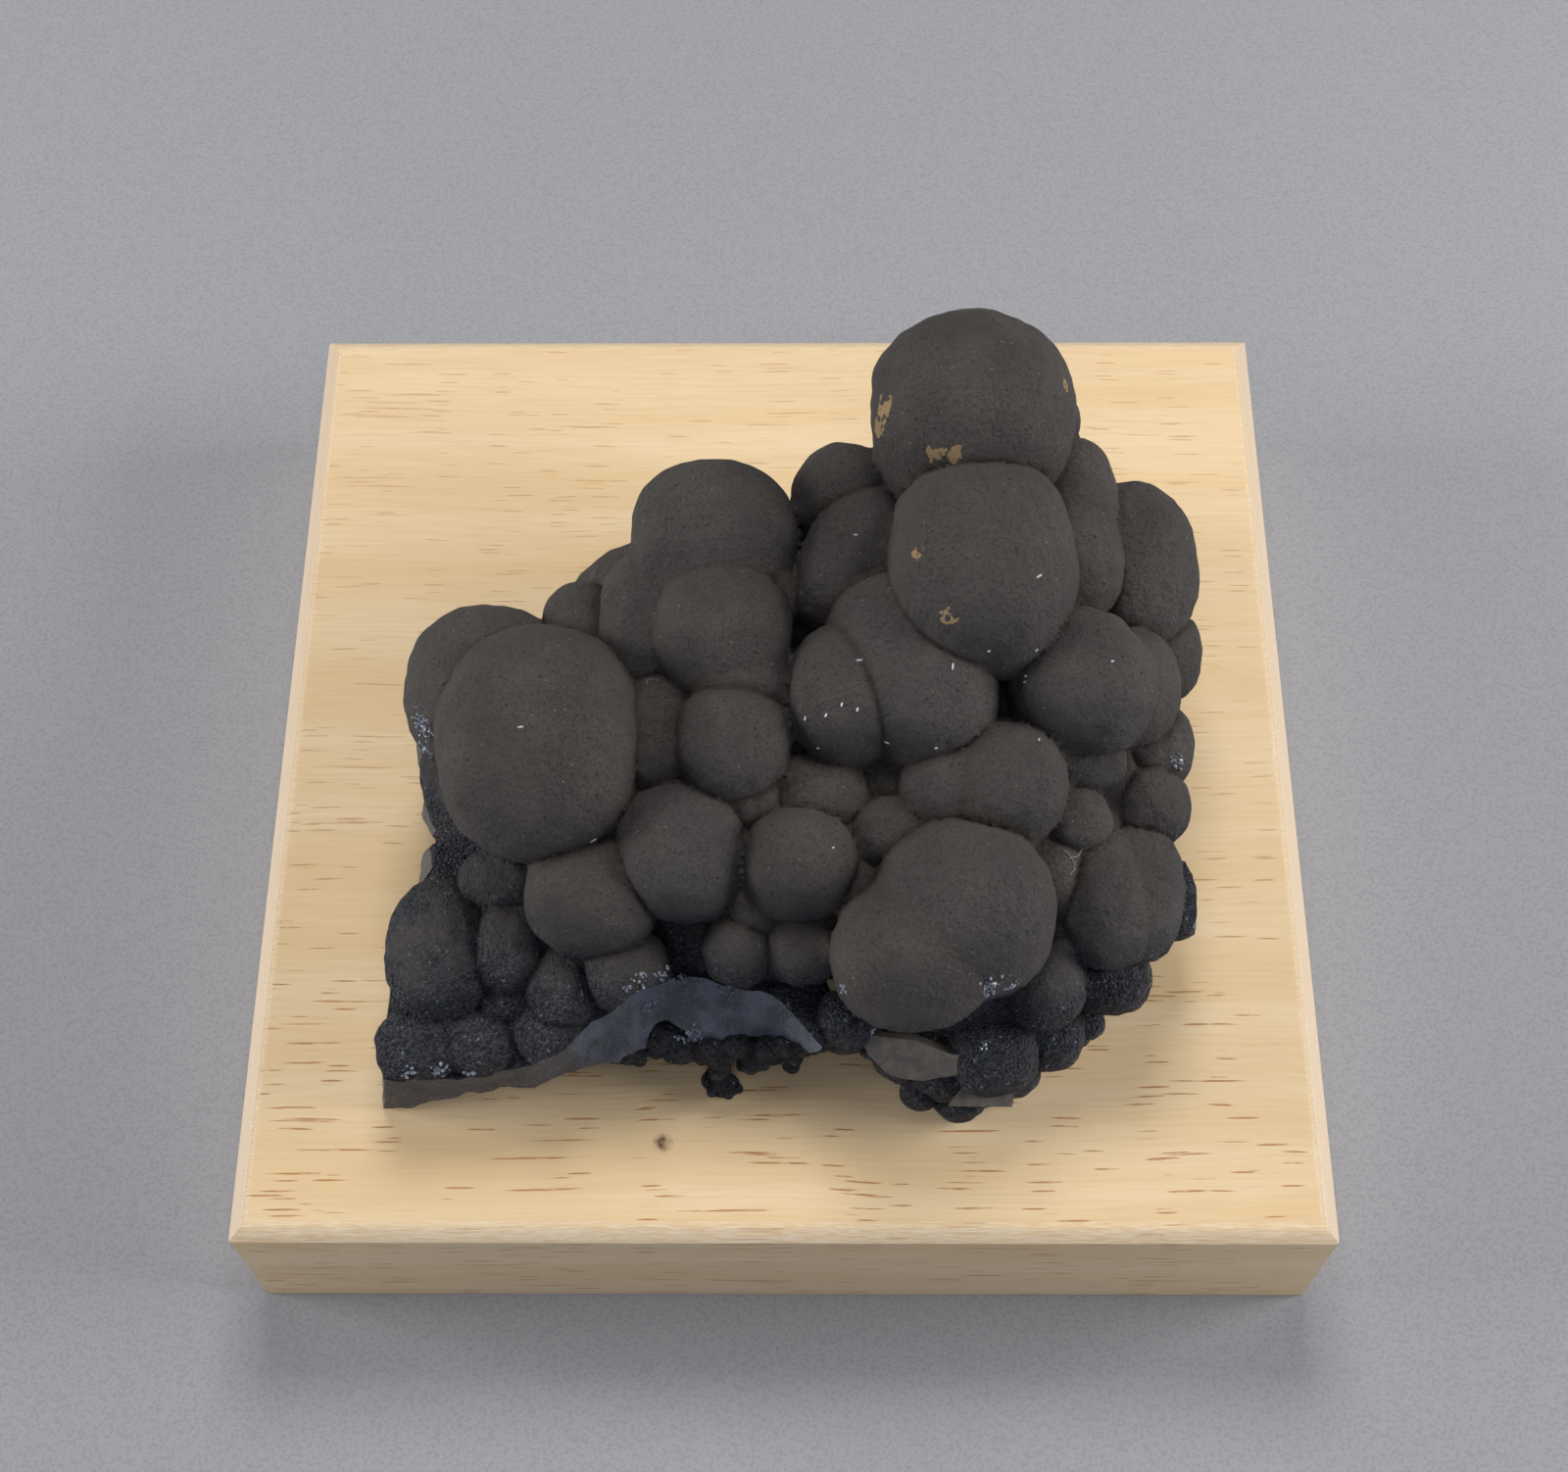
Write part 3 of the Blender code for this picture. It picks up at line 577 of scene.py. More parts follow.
def break_cutter(name, upper, lower, outward):
    """Solid whose near side is the gently waved face between the two edges."""
    out = np.array((*outward, 0.0))
    up = np.array((0.0, 0.0, 1.0))
    high = spread_along(upper, BREAK_SECTIONS)
    along = int(np.argmin(np.abs(out[:2])))
    run = 1.0 if upper[-1][along] > upper[0][along] else -1.0
    corners = np.array(lower)
    low = high.copy()
    for axis in (1 - along, 2):
        low[:, axis] = np.interp(high[:, along] * run, corners[:, along] * run,
                                 corners[:, axis])
    high[:, 2] += BREAK_RAGGED * noise_at(high, BREAK_RAGGED_WIDTH, offset=3.0)
    low[:, 2] += BREAK_RAGGED * noise_at(low, BREAK_RAGGED_WIDTH, offset=9.0)
    rows = [low + (high - low) * (row / BREAK_ROWS) for row in range(BREAK_ROWS + 1)]
    for depth, width in BREAK_WAVES:
        rows = [row + out * (depth * noise_at(row, width))[:, None] for row in rows]
    below = low + out * FRACTURE_FOOT[0] + up * FRACTURE_FOOT[1]
    above = high + out * FRACTURE_TOP[0] + up * FRACTURE_TOP[1]
    rings = [below, *rows, above, above + out * FRACTURE_REACH, below + out * FRACTURE_REACH]
    return tube_of_sections(name, np.stack(rings, 1), 1)


def roof_height(x, y, depth):
    """Height of the hollow's roof; depth runs from 0 at the front to 1 at the wall."""
    along = (x - ROOF_RISE_LEFT) / (ROOF_RISE_RIGHT - ROOF_RISE_LEFT)
    along = min(max(along, 0.0), 1.0)
    edge = ROOF_AT_WING + (ROOF_AT_MIDDLE - ROOF_AT_WING) * along
    dome = ROOF_DOME * math.sin(math.pi * depth) ** 2
    place = Vector((x, y, 0.0))
    bumps = ROOF_BUMPS * noise.noise(place / DENT_WIDTH)
    fine = FINE_BUMPS * noise.noise(place / FINE_BUMP_WIDTH)
    return edge + dome + bumps + fine


def hollow_cutter():
    """Open space under the front left of the crust, with a bumpy roof."""
    sections = []
    for column in range(HOLLOW_COLUMNS + 1):
        share = column / HOLLOW_COLUMNS
        x = HOLLOW_LEFT + (HOLLOW_RIGHT - HOLLOW_LEFT) * share
        back = HOLLOW_BACK_LEFT + (HOLLOW_BACK_RIGHT - HOLLOW_BACK_LEFT) * share ** 2
        back += WALL_BUMPS * noise.noise(Vector((x, 0.0, 0.0)) / DENT_WIDTH)
        ring = [(x, HOLLOW_FRONT, HOLLOW_FLOOR)]
        for row in range(HOLLOW_ROWS + 1):
            depth = row / HOLLOW_ROWS
            y = HOLLOW_EDGE + (back - HOLLOW_EDGE) * depth
            if row == 0:
                ring.append((x, HOLLOW_FRONT, roof_height(x, y, 0.0)))
            ring.append((x, y, roof_height(x, y, depth)))
        ring.append((x, back, HOLLOW_FLOOR))
        sections.append(ring)
    return tube_of_sections("hollow_cutter", sections, 0)


def rest_cutter():
    """Everything below the height at which the specimen rests."""
    half = BOARD_SIDE / 2
    square = [(-half, -half), (half, -half), (half, half), (-half, half)]
    sections = [[(x, y, z) for x, y in square] for z in (0.0, REST_HEIGHT)]
    return tube_of_sections("rest_cutter", sections, 0)


# farther than any lump, and the least size of a point seen from a lump's middle
FAR = 1e9
LEAST_SIZE = 1e-3


def lump_gaps(points, lumps):
    """For each point: nearest and next lump, and how much farther the next one is."""
    best = np.full(len(points), FAR)
    second = np.full(len(points), FAR)
    nearest = np.zeros(len(points), int)
    following = np.zeros(len(points), int)
    for index, item in enumerate(lumps):
        offset = points - (item.x, item.y, item.z)
        half = np.array((item.across, item.deep, item.tall))
        own = (offset @ lump_turn(item)) / half
        size = (np.abs(own) ** PILLOW).sum(1) ** (1.0 / PILLOW)
        reach = np.linalg.norm(offset, axis=1)
        away = reach * (1.0 - 1.0 / np.maximum(size, LEAST_SIZE))
        closer = away < best
        between = ~closer & (away < second)
        following = np.where(closer, nearest, np.where(between, index, following))
        second = np.where(closer, best, np.where(between, away, second))
        nearest = np.where(closer, index, nearest)
        best = np.where(closer, away, best)
    return nearest, following, second - best


def soft_share(lumps, nearest, following, gap):
    """1 in the dip between two lumps that run into each other, 0 elsewhere."""
    places = {item.name: index for index, item in enumerate(lumps)}
    soft = np.zeros((len(lumps), len(lumps)))
    for first, second, filled in SOFT_PAIRS:
        soft[places[first], places[second]] = filled
        soft[places[second], places[first]] = filled
    return soft[nearest, following] * np.exp(-((gap / SOFT_WIDTH) ** 2))


def soften_dips(item, lumps):
    """Fill the creases between lumps that run into each other."""
    places, _ = vertex_arrays(item.data)
    share = soft_share(lumps, *lump_gaps(places, lumps))
    group = item.vertex_groups.new(name="soft_dips")
    for index in np.flatnonzero(share > SOFT_LEAST):
        group.add([int(index)], float(share[index]), "REPLACE")
    add_softening(item, SOFT_ROUNDS, group.name)
    applied(item)
    item.vertex_groups.clear()


# where the skin turns granular: height, fade below it, and what slope and patches add
GRAIN_TOP = 39.0
GRAIN_FADE = 6.0
GRAIN_LEVEL_NORMAL = 0.35
GRAIN_FROM_SLOPE = 0.5
GRAIN_FROM_PATCHES = 0.4
GRAIN_PATCH_WIDTH = 3.5


def grain_share(points, normals):
    """1 where the skin is granular: low down, and on steep sides near the foot."""
    steep = GRAIN_LEVEL_NORMAL - normals[:, 2]
    patches = noise_at(points, GRAIN_PATCH_WIDTH, offset=5.0)
    depth = (GRAIN_TOP - points[:, 2]) / GRAIN_FADE
    return smooth_step(0.0, 1.0,
                       depth + GRAIN_FROM_SLOPE * steep + GRAIN_FROM_PATCHES * patches)


def vertex_arrays(data):
    """Places in millimetres and normals of all vertices."""
    count = len(data.vertices)
    places = np.empty(count * 3, np.float32)
    data.vertices.foreach_get("co", places)
    normals = np.empty(count * 3, np.float32)
    data.vertex_normals.foreach_get("vector", normals)
    return places.reshape(-1, 3).astype(float) / MM, normals.reshape(-1, 3).astype(float)


def move_vertices(data, places):
    """Write places in millimetres back to the mesh."""
    data.vertices.foreach_set("co", (places * MM).astype(np.float32).ravel())
    data.update()


def press_detail(item, lumps):
    """Broad swells, grooves along the creases and grains low down."""
    places, normals = vertex_arrays(item.data)
    nearest, following, gap = lump_gaps(places, lumps)
    crease = 1.0 - (1.0 - SOFT_LEFT_OVER) * soft_share(lumps, nearest, following, gap)
    grain = grain_share(places, normals)
    height = SWELL_DEPTH * noise_at(places, SWELL_WIDTH, offset=2.0)
    height += KNOB_DEPTH * noise_at(places, KNOB_WIDTH, offset=4.0)
    height -= GROOVE_DEPTH * crease * np.exp(-((gap / GROOVE_WIDTH) ** 2))
    height += GRAIN_DEPTH * grain * noise_at(places, GRAIN_WIDTH, offset=7.0)
    move_vertices(item.data, places + normals * height[:, None])


def add_attribute(data, name, values):
    """Store one number for each vertex."""
    layer = data.attributes.new(name, "FLOAT", "POINT")
    layer.data.foreach_set("value", np.asarray(values, np.float32))


TONE_SEED = 5
CREASE_WIDTH = 0.42


def mark_skin(item, lumps):
    """Numbers that the skin's material reads: crease, grain and tone."""
    places, normals = vertex_arrays(item.data)
    nearest, following, gap = lump_gaps(places, lumps)
    sharp = 1.0 - (1.0 - SOFT_LEFT_OVER) * soft_share(lumps, nearest, following, gap)
    dice = random.Random(TONE_SEED)
    tones = np.array([dice.uniform(-1.0, 1.0) for _ in lumps])
    # the crease number also sets the painted shade at the bottoms of the creases
    add_attribute(item.data, "crease", sharp * np.exp(-((gap / CREASE_WIDTH) ** 2)))
    add_attribute(item.data, "grain", grain_share(places, normals))
    add_attribute(item.data, "tone", tones[nearest])


def thin_to(item, triangles):
    """Use fewer triangles where the skin is nearly flat."""
    data = item.data
    present = sum(len(polygon.vertices) - 2 for polygon in data.polygons)
    if present > triangles:
        step = item.modifiers.new("thinning", "DECIMATE")
        step.ratio = triangles / present
        applied(item)


def melted(name, lumps, voxel, rounds):
    """One closed, slightly softened skin round the lumps of a list."""
    item = lump_shells(name, lumps)
    add_voxel_union(item, voxel)
    add_softening(item, rounds)
    applied(item)
    keep_outer_skin(item)
    return item


def cut_specimen(item, hanging):
    """Cut the hollow, the broken edges and the foot, and join the beard."""
    arch = lump_shells("arch_cutter", [lump("arch", ARCH_CENTRE, ARCH_HALF_SIZES)])
    cutters = [
        hollow_cutter(),
        break_cutter("front_cutter", FRONT_UPPER, FRONT_LOWER, (0.0, -1.0)),
        break_cutter("left_cutter", LEFT_UPPER, LEFT_LOWER, (-1.0, 0.0)),
        break_cutter("right_cutter", RIGHT_UPPER, RIGHT_LOWER, (1.0, 0.0)),
        arch,
    ]
    for cutter in cutters:
        add_boolean(item, "DIFFERENCE", cutter)
    add_boolean(item, "UNION", hanging)
    slabs = [tube_of_sections(f"slab_{k}", [np.array(face), np.array(face) + shift], 2)
             for k, (face, shift) in enumerate(CHIPS)]
    for slab in slabs:
        add_boolean(item, "UNION", slab)
    foot = rest_cutter()
    add_boolean(item, "DIFFERENCE", foot)
    applied(item)
    for helper in [*cutters, hanging, *slabs, foot]:
        bpy.data.objects.remove(helper, do_unlink=True)
    keep_outer_skin(item)


# edges of a break and of a chip sharper than this, in degrees, are shaded as edges
SHARP_BREAK = 55.0


def build_skin(voxel, beard_voxel):
    """The whole specimen's mesh, with its marks for the materials."""
    lumps = (core() + crown_and_king() + east_side() + middle_right() + pillar()
             + left_side() + chin() + rear_lumps())
    specimen = melted("specimen", lumps, voxel, 1)
    soften_dips(specimen, lumps)
    press_detail(specimen, lumps)
    hanging = melted("beard_lumps", beard(), beard_voxel, 1)
    cut_specimen(specimen, hanging)
    thin_to(specimen, MOST_TRIANGLES)
    mark_skin(specimen, lumps + beard())
    specimen.data.shade_smooth()
    specimen.data.set_sharp_from_angle(angle=math.radians(SHARP_BREAK))
    return specimen


# height of the specimen's rim, in mm, for pixels just outside the outline
RIM_HEIGHT = 30.0


def camera_axes():
    """Right, up and forward of the camera that took the photograph."""
    down = math.radians(CAMERA_DOWN)
    turn = math.radians(CAMERA_TURN)
    roll = math.radians(CAMERA_ROLL)
    forward = Vector((math.sin(turn) * math.cos(down), math.cos(turn) * math.cos(down),
                      -math.sin(down)))
    level = Vector((math.cos(turn), -math.sin(turn), 0.0))
    upright = level.cross(forward)
    right = math.cos(roll) * level + math.sin(roll) * upright
    up = -math.sin(roll) * level + math.cos(roll) * upright
    return right, up, forward


def ray_through(column, row):
    """Direction from the camera through a pixel of the photograph."""
    right, up, forward = camera_axes()
    across = (column - PHOTO_WIDE / 2) / CAMERA_FOCUS
    above = (PHOTO_TALL / 2 - row) / CAMERA_FOCUS
    return (forward + right * across + up * above).normalized()


def point_seen_at(tree, column, row):
    """Place and normal on a mesh that the photograph shows at that pixel.

    A pixel just outside the outline gives the nearest place on the rim.
    """
    direction = ray_through(column, row)
    start = Vector(CAMERA_PLACE) * MM
    place, normal, _, _ = tree.ray_cast(start, direction)
    if place is None:
        beside = start + direction * ((RIM_HEIGHT * MM - start.z) / direction.z)
        place, normal, _, _ = tree.find_nearest(beside)
    return place, normal


def linear(colour):
    """sRGB hex turned to linear red, green, blue and alpha 1."""
    values = [int(colour[k:k + 2], 16) / 255.0 for k in (1, 3, 5)]
    return tuple(v / 12.92 if v <= 0.04045 else ((v + 0.055) / 1.055) ** 2.4
                 for v in values) + (1.0,)


def per_mm(size):
    """Texture scale that gives a pattern of that size in millimetres."""
    return 1.0 / (size * MM)


# kinds of node: type, own values, inputs in the order of a call, and the output used
NodeKind = namedtuple("NodeKind", "type_name settings inputs output")
NODE_KINDS = {
    "place": NodeKind("ShaderNodeTexCoord", {}, (), "Object"),
    "normal": NodeKind("ShaderNodeNewGeometry", {}, (), "True Normal"),
    "attribute": NodeKind("ShaderNodeAttribute", {}, (), "Fac"),
    "noise": NodeKind("ShaderNodeTexNoise", {},
                      ("Vector", "Scale", "Detail", "Roughness"), "Fac"),
    "wander": NodeKind("ShaderNodeTexNoise", {}, ("Vector", "Scale", "Detail"), "Color"),
    "cells": NodeKind("ShaderNodeTexVoronoi", {}, ("Vector", "Scale"), None),
    "range": NodeKind("ShaderNodeMapRange", {"interpolation_type": "SMOOTHSTEP"},
                      ("Value", "From Min", "From Max", "To Min", "To Max"), "Result"),
    "mix": NodeKind("ShaderNodeMix", {"data_type": "RGBA"}, (0, 6, 7), 2),
    "colour_parts": NodeKind("ShaderNodeSeparateColor", {}, ("Color",), None),
    "vector_parts": NodeKind("ShaderNodeSeparateXYZ", {}, ("Vector",), None),
    "distance": NodeKind("ShaderNodeVectorMath", {"operation": "DISTANCE"}, (0, 1), "Value"),
    "stretch": NodeKind("ShaderNodeVectorMath", {"operation": "MULTIPLY"}, (0, 1), "Vector"),
    "shift": NodeKind("ShaderNodeVectorMath", {"operation": "MULTIPLY_ADD"},
                      (0, 1, 2), "Vector"),
    "bump": NodeKind("ShaderNodeBump", {}, ("Strength", "Distance", "Height"), "Normal"),
    "surface": NodeKind("ShaderNodeBsdfPrincipled", {}, (), None),
    "output": NodeKind("ShaderNodeOutputMaterial", {}, ("Surface",), None),
}
for operation in ("ADD", "SUBTRACT", "MULTIPLY", "DIVIDE", "MAXIMUM", "POWER", "ABSOLUTE"):
    NODE_KINDS[operation.lower()] = NodeKind("ShaderNodeMath", {"operation": operation},
                                             (0, 1), 0)


def add(tree, kind, *values, **settings):
    """Add a node with its own settings, and set or link its inputs.

    Gives the output that the table names, or the node itself if it names none.
    """
    chosen = NODE_KINDS[kind]
    node = tree.nodes.new(chosen.type_name)
    for name, value in {**chosen.settings, **settings}.items():
        setattr(node, name, value)
    for name, value in zip(chosen.inputs, values):
        if isinstance(value, bpy.types.NodeSocket):
            tree.links.new(value, node.inputs[name])
        else:
            node.inputs[name].default_value = value
    return node if chosen.output is None else node.outputs[chosen.output]


def fresh_tree(name):
    """Empty node tree of a material, with its surface and output nodes."""
    material = material_named(name)
    material.use_nodes = True
    tree = material.node_tree
    tree.nodes.clear()
    surface = add(tree, "surface")
    add(tree, "output", surface.outputs["BSDF"])
    return tree, surface


# skin patterns in mm: clouds, velvet, blue-black grains, spacing of specks, orange peel
SKIN_CLOUD = 6.0
SKIN_VELVET = 0.34
SKIN_GRAIN = 0.27
SKIN_SPECKS = 0.9
SKIN_PEEL = 1.1
SKIN_BUMP = 0.4
CRUST_RAGGED = 0.9


def skin_material(settings, patches):
    """Romanechite, botryoidal, with a matte velvety skin.

    The dull dark brown-grey skin shows no gloss; low down it breaks into
    blue-black grains about a third of a millimetre across, a few of which carry a painted
    glint.
    """
    tree, surface = fresh_tree("romanechite_velvet_skin")
    place = add(tree, "place")
    crease, grain, tone = (add(tree, "attribute", attribute_name=name)
                           for name in ("crease", "grain", "tone"))

    clouds = add(tree, "noise", place, per_mm(SKIN_CLOUD), 3.0)
    velvet = add(tree, "noise", place, per_mm(SKIN_VELVET), 4.0, 0.75)
    warm = add(tree, "mix", add(tree, "range", clouds, 0.3, 0.7), settings.skin_dark,
               settings.skin_light)
    warm = add(tree, "mix", add(tree, "range", tone, -1.0, 1.0, 0.0, 0.35), warm,
               settings.skin_grey)
    warm = add(tree, "mix", add(tree, "range", velvet, 0.42, 0.64, 0.0, 0.7), warm,
               settings.skin_fleck)
    rust = add(tree, "multiply", crease, add(tree, "range", clouds, 0.4, 0.65, 0.1, 0.5))
    warm = add(tree, "mix", rust, warm, settings.crease_rust)
    for centre, radius, middle in patches:
        share = patch_share(tree, place, centre, radius)
        if middle:
            share = add(tree, "subtract", share, patch_share(tree, place, centre, middle))
        warm = add(tree, "mix", share, warm, settings.tan_crust)

    cells = add(tree, "cells", place, per_mm(SKIN_GRAIN))
    cell_shade = add(tree, "colour_parts", cells.outputs["Color"])
    blue = add(tree, "mix", add(tree, "range", cell_shade.outputs[0], 0.1, 0.9),
               settings.grain_dark, settings.grain_mid)
    # painted glint: a few grains are painted a lighter grey
    glint = add(tree, "range", cell_shade.outputs[1], 0.98, 0.995)
    blue = add(tree, "mix", glint, blue, settings.grain_glint)
    base = add(tree, "mix", grain, warm, blue)

    fleck = add(tree, "cells", place, per_mm(SKIN_SPECKS))
    fleck_shade = add(tree, "colour_parts", fleck.outputs["Color"])
    speck = add(tree, "multiply", add(tree, "range", fleck_shade.outputs[0], 0.66, 0.72),
                add(tree, "range", fleck.outputs["Distance"], 0.13, 0.07))
    pit = add(tree, "multiply", add(tree, "range", fleck_shade.outputs[1], 0.6, 0.7),
              add(tree, "range", fleck.outputs["Distance"], 0.2, 0.12))
    # painted shade: the small pits that the bump presses in are darkened
    base = add(tree, "mix", add(tree, "multiply", pit, 0.55), base, settings.painted_recess_shade)
    base = add(tree, "mix", add(tree, "multiply", speck, 0.6), base, settings.dust)
    # painted shade: darkest at the bottom of each crease, where shade falls
    deep = add(tree, "multiply", add(tree, "power", crease, 3.0), 0.75)
    base = add(tree, "mix", deep, base, settings.painted_recess_shade)
    tree.links.new(base, surface.inputs["Base Color"])

    rough = add(tree, "range", velvet, 0.3, 0.7, 0.92, 0.8)
    shiny = add(tree, "multiply", grain, add(tree, "range", cell_shade.outputs[2], 0.6, 1.0))
    rough = add(tree, "subtract", rough, add(tree, "multiply", shiny, 0.5))
    tree.links.new(rough, surface.inputs["Roughness"])
    surface.inputs["Specular IOR Level"].default_value = 0.4

    peel = add(tree, "noise", place, per_mm(SKIN_PEEL), 3.0)
    rise = add(tree, "add", add(tree, "multiply", velvet, 1.1),
               add(tree, "multiply", peel, 1.3))
    grit = add(tree, "multiply", cells.outputs["Distance"], add(tree, "multiply", grain, -1.4))
    rise = add(tree, "add", rise, grit)
    rise = add(tree, "subtract", rise, add(tree, "multiply", pit, 0.35))
    bump = add(tree, "bump", 0.9, SKIN_BUMP * MM, rise)
    tree.links.new(bump, surface.inputs["Normal"])


def patch_share(tree, place, centre, radius):
    """1 inside a ragged round patch at a place on the skin, 0 outside."""
    ragged = add(tree, "noise", place, per_mm(CRUST_RAGGED), 2.0)
    away = add(tree, "distance", place, tuple(centre))
    size = add(tree, "divide", away, radius * MM)
    edge = add(tree, "add", size, add(tree, "multiply", ragged, 2.6))
    return add(tree, "range", edge, 2.05, 1.9)


# break patterns in mm, and where along X it turns brown
BREAK_CLOUD = 2.6
BREAK_GRAIN = 0.25
BREAK_BUMP = 0.35
BREAK_BROWN_FROM = -17.0
BREAK_BROWN_TO = -23.0


def break_material(settings):
    """Fresh break of massive romanechite: finely granular and semi-matte.

    It shows a smooth blue-grey face, browner to the left, with paler bands
    where the growth layers are cut.
    """
    tree, surface = fresh_tree("romanechite_fresh_break")
    place = add(tree, "place")
    spot = add(tree, "vector_parts", place)
    clouds = add(tree, "noise", place, per_mm(BREAK_CLOUD), 4.0)
    fine = add(tree, "noise", place, per_mm(BREAK_GRAIN), 3.0)
    blue = add(tree, "mix", add(tree, "range", clouds, 0.4, 0.62), settings.break_dark,
               settings.break_light)
    brown = add(tree, "range", spot.outputs["X"], BREAK_BROWN_FROM * MM, BREAK_BROWN_TO * MM)
    base = add(tree, "mix", add(tree, "multiply", brown, 0.8), blue, settings.break_brown)
    base = add(tree, "mix", add(tree, "range", fine, 0.52, 0.72, 0.0, 0.5), base,
               settings.break_pale)
    tree.links.new(base, surface.inputs["Base Color"])
    tree.links.new(add(tree, "range", clouds, 0.3, 0.7, 0.5, 0.68), surface.inputs["Roughness"])
    rise = add(tree, "add", add(tree, "multiply", fine, 0.8), clouds)
    bump = add(tree, "bump", 0.7, BREAK_BUMP * MM, rise)
    tree.links.new(bump, surface.inputs["Normal"])


# clouds of the small pieces' materials, in mm
CHIP_CLOUD = 0.8
CHIP_BUMP = 0.1
CRYSTAL_CLOUD = 0.7
SPLINTER_CLOUD = 0.4
LINT_CLOUD = 0.5


def chip_material(settings):
    """Romanechite chip, cleanly split: a flat, dull, paler brown-grey face."""
    tree, surface = fresh_tree("romanechite_smooth_chip")
    place = add(tree, "place")
    cloud = add(tree, "noise", place, per_mm(CHIP_CLOUD), 4.0)
    base = add(tree, "mix", add(tree, "range", cloud, 0.35, 0.65), settings.chip_grey,
               settings.skin_light)
    tree.links.new(base, surface.inputs["Base Color"])
    tree.links.new(add(tree, "range", cloud, 0.3, 0.7, 0.6, 0.8), surface.inputs["Roughness"])
    bump = add(tree, "bump", 0.5, CHIP_BUMP * MM, cloud)
    tree.links.new(bump, surface.inputs["Normal"])


def crystal_material(settings):
    """Colourless quartz druse: glassy points that look white where they crowd."""
    tree, surface = fresh_tree("quartz_druse")
    place = add(tree, "place")
    cloud = add(tree, "noise", place, per_mm(CRYSTAL_CLOUD), 2.0)
    base = add(tree, "mix", add(tree, "range", cloud, 0.35, 0.65), settings.crystal_grey,
               settings.crystal_white)
    tree.links.new(base, surface.inputs["Base Color"])
    tree.links.new(add(tree, "range", cloud, 0.3, 0.7, 0.3, 0.15), surface.inputs["Roughness"])
    surface.inputs["Transmission Weight"].default_value = 0.25
    surface.inputs["IOR"].default_value = 1.54


def splinter_material(settings):
    """Cleaved barite splinters: opaque white, with a pearly shine."""
    tree, surface = fresh_tree("barite_splinters")
    place = add(tree, "place")
    cloud = add(tree, "noise", place, per_mm(SPLINTER_CLOUD), 2.0)
    base = add(tree, "mix", cloud, settings.splinter_white, settings.crystal_white)
    tree.links.new(base, surface.inputs["Base Color"])
    tree.links.new(add(tree, "range", cloud, 0.3, 0.7, 0.35, 0.5), surface.inputs["Roughness"])


def lint_material(settings):
    """Cotton lint: a soft white fibre left by a cloth."""
    tree, surface = fresh_tree("cotton_lint")
    place = add(tree, "place")
    cloud = add(tree, "noise", place, per_mm(LINT_CLOUD))
    base = add(tree, "mix", cloud, settings.crystal_grey, settings.crystal_white)
    tree.links.new(base, surface.inputs["Base Color"])
    surface.inputs["Roughness"].default_value = 0.9


# pine patterns in mm: how far apart the grain wanders and by how much, then for bands,
# fibres, breaks in the resin lines and sanded hairs their length and width
PINE_WANDER = 22.0
PINE_WANDER_BY = 1.6
PINE_BANDS = (70.0, 5.0)
PINE_FIBRES = (9.0, 0.35)
PINE_BROKEN = (1.6, 0.3)
PINE_HAIRS = (2.0, 0.12)
PINE_BUMP = 0.06
# resin lines: spacing across and along the grain in mm, and which of them show
RESIN_LINES = ((0.44, 9.0, 0.62, 0.65), (0.5, 20.0, 0.74, 0.77), (0.4, 6.0, 0.74, 0.77))
# the lines are fainter behind the first place along Y and full before the second, in mm
RESIN_FAINT_FROM = 0.0
RESIN_FULL_FROM = -35.0
KNOT_RADIUS = 1.2
KNOT_CORE = 0.2
KNOT_BLOTCH = 0.8


def streak(length, width):
    """Scales in which a streak along X is as long as it is wide."""
    return per_mm(length), per_mm(width), per_mm(width)


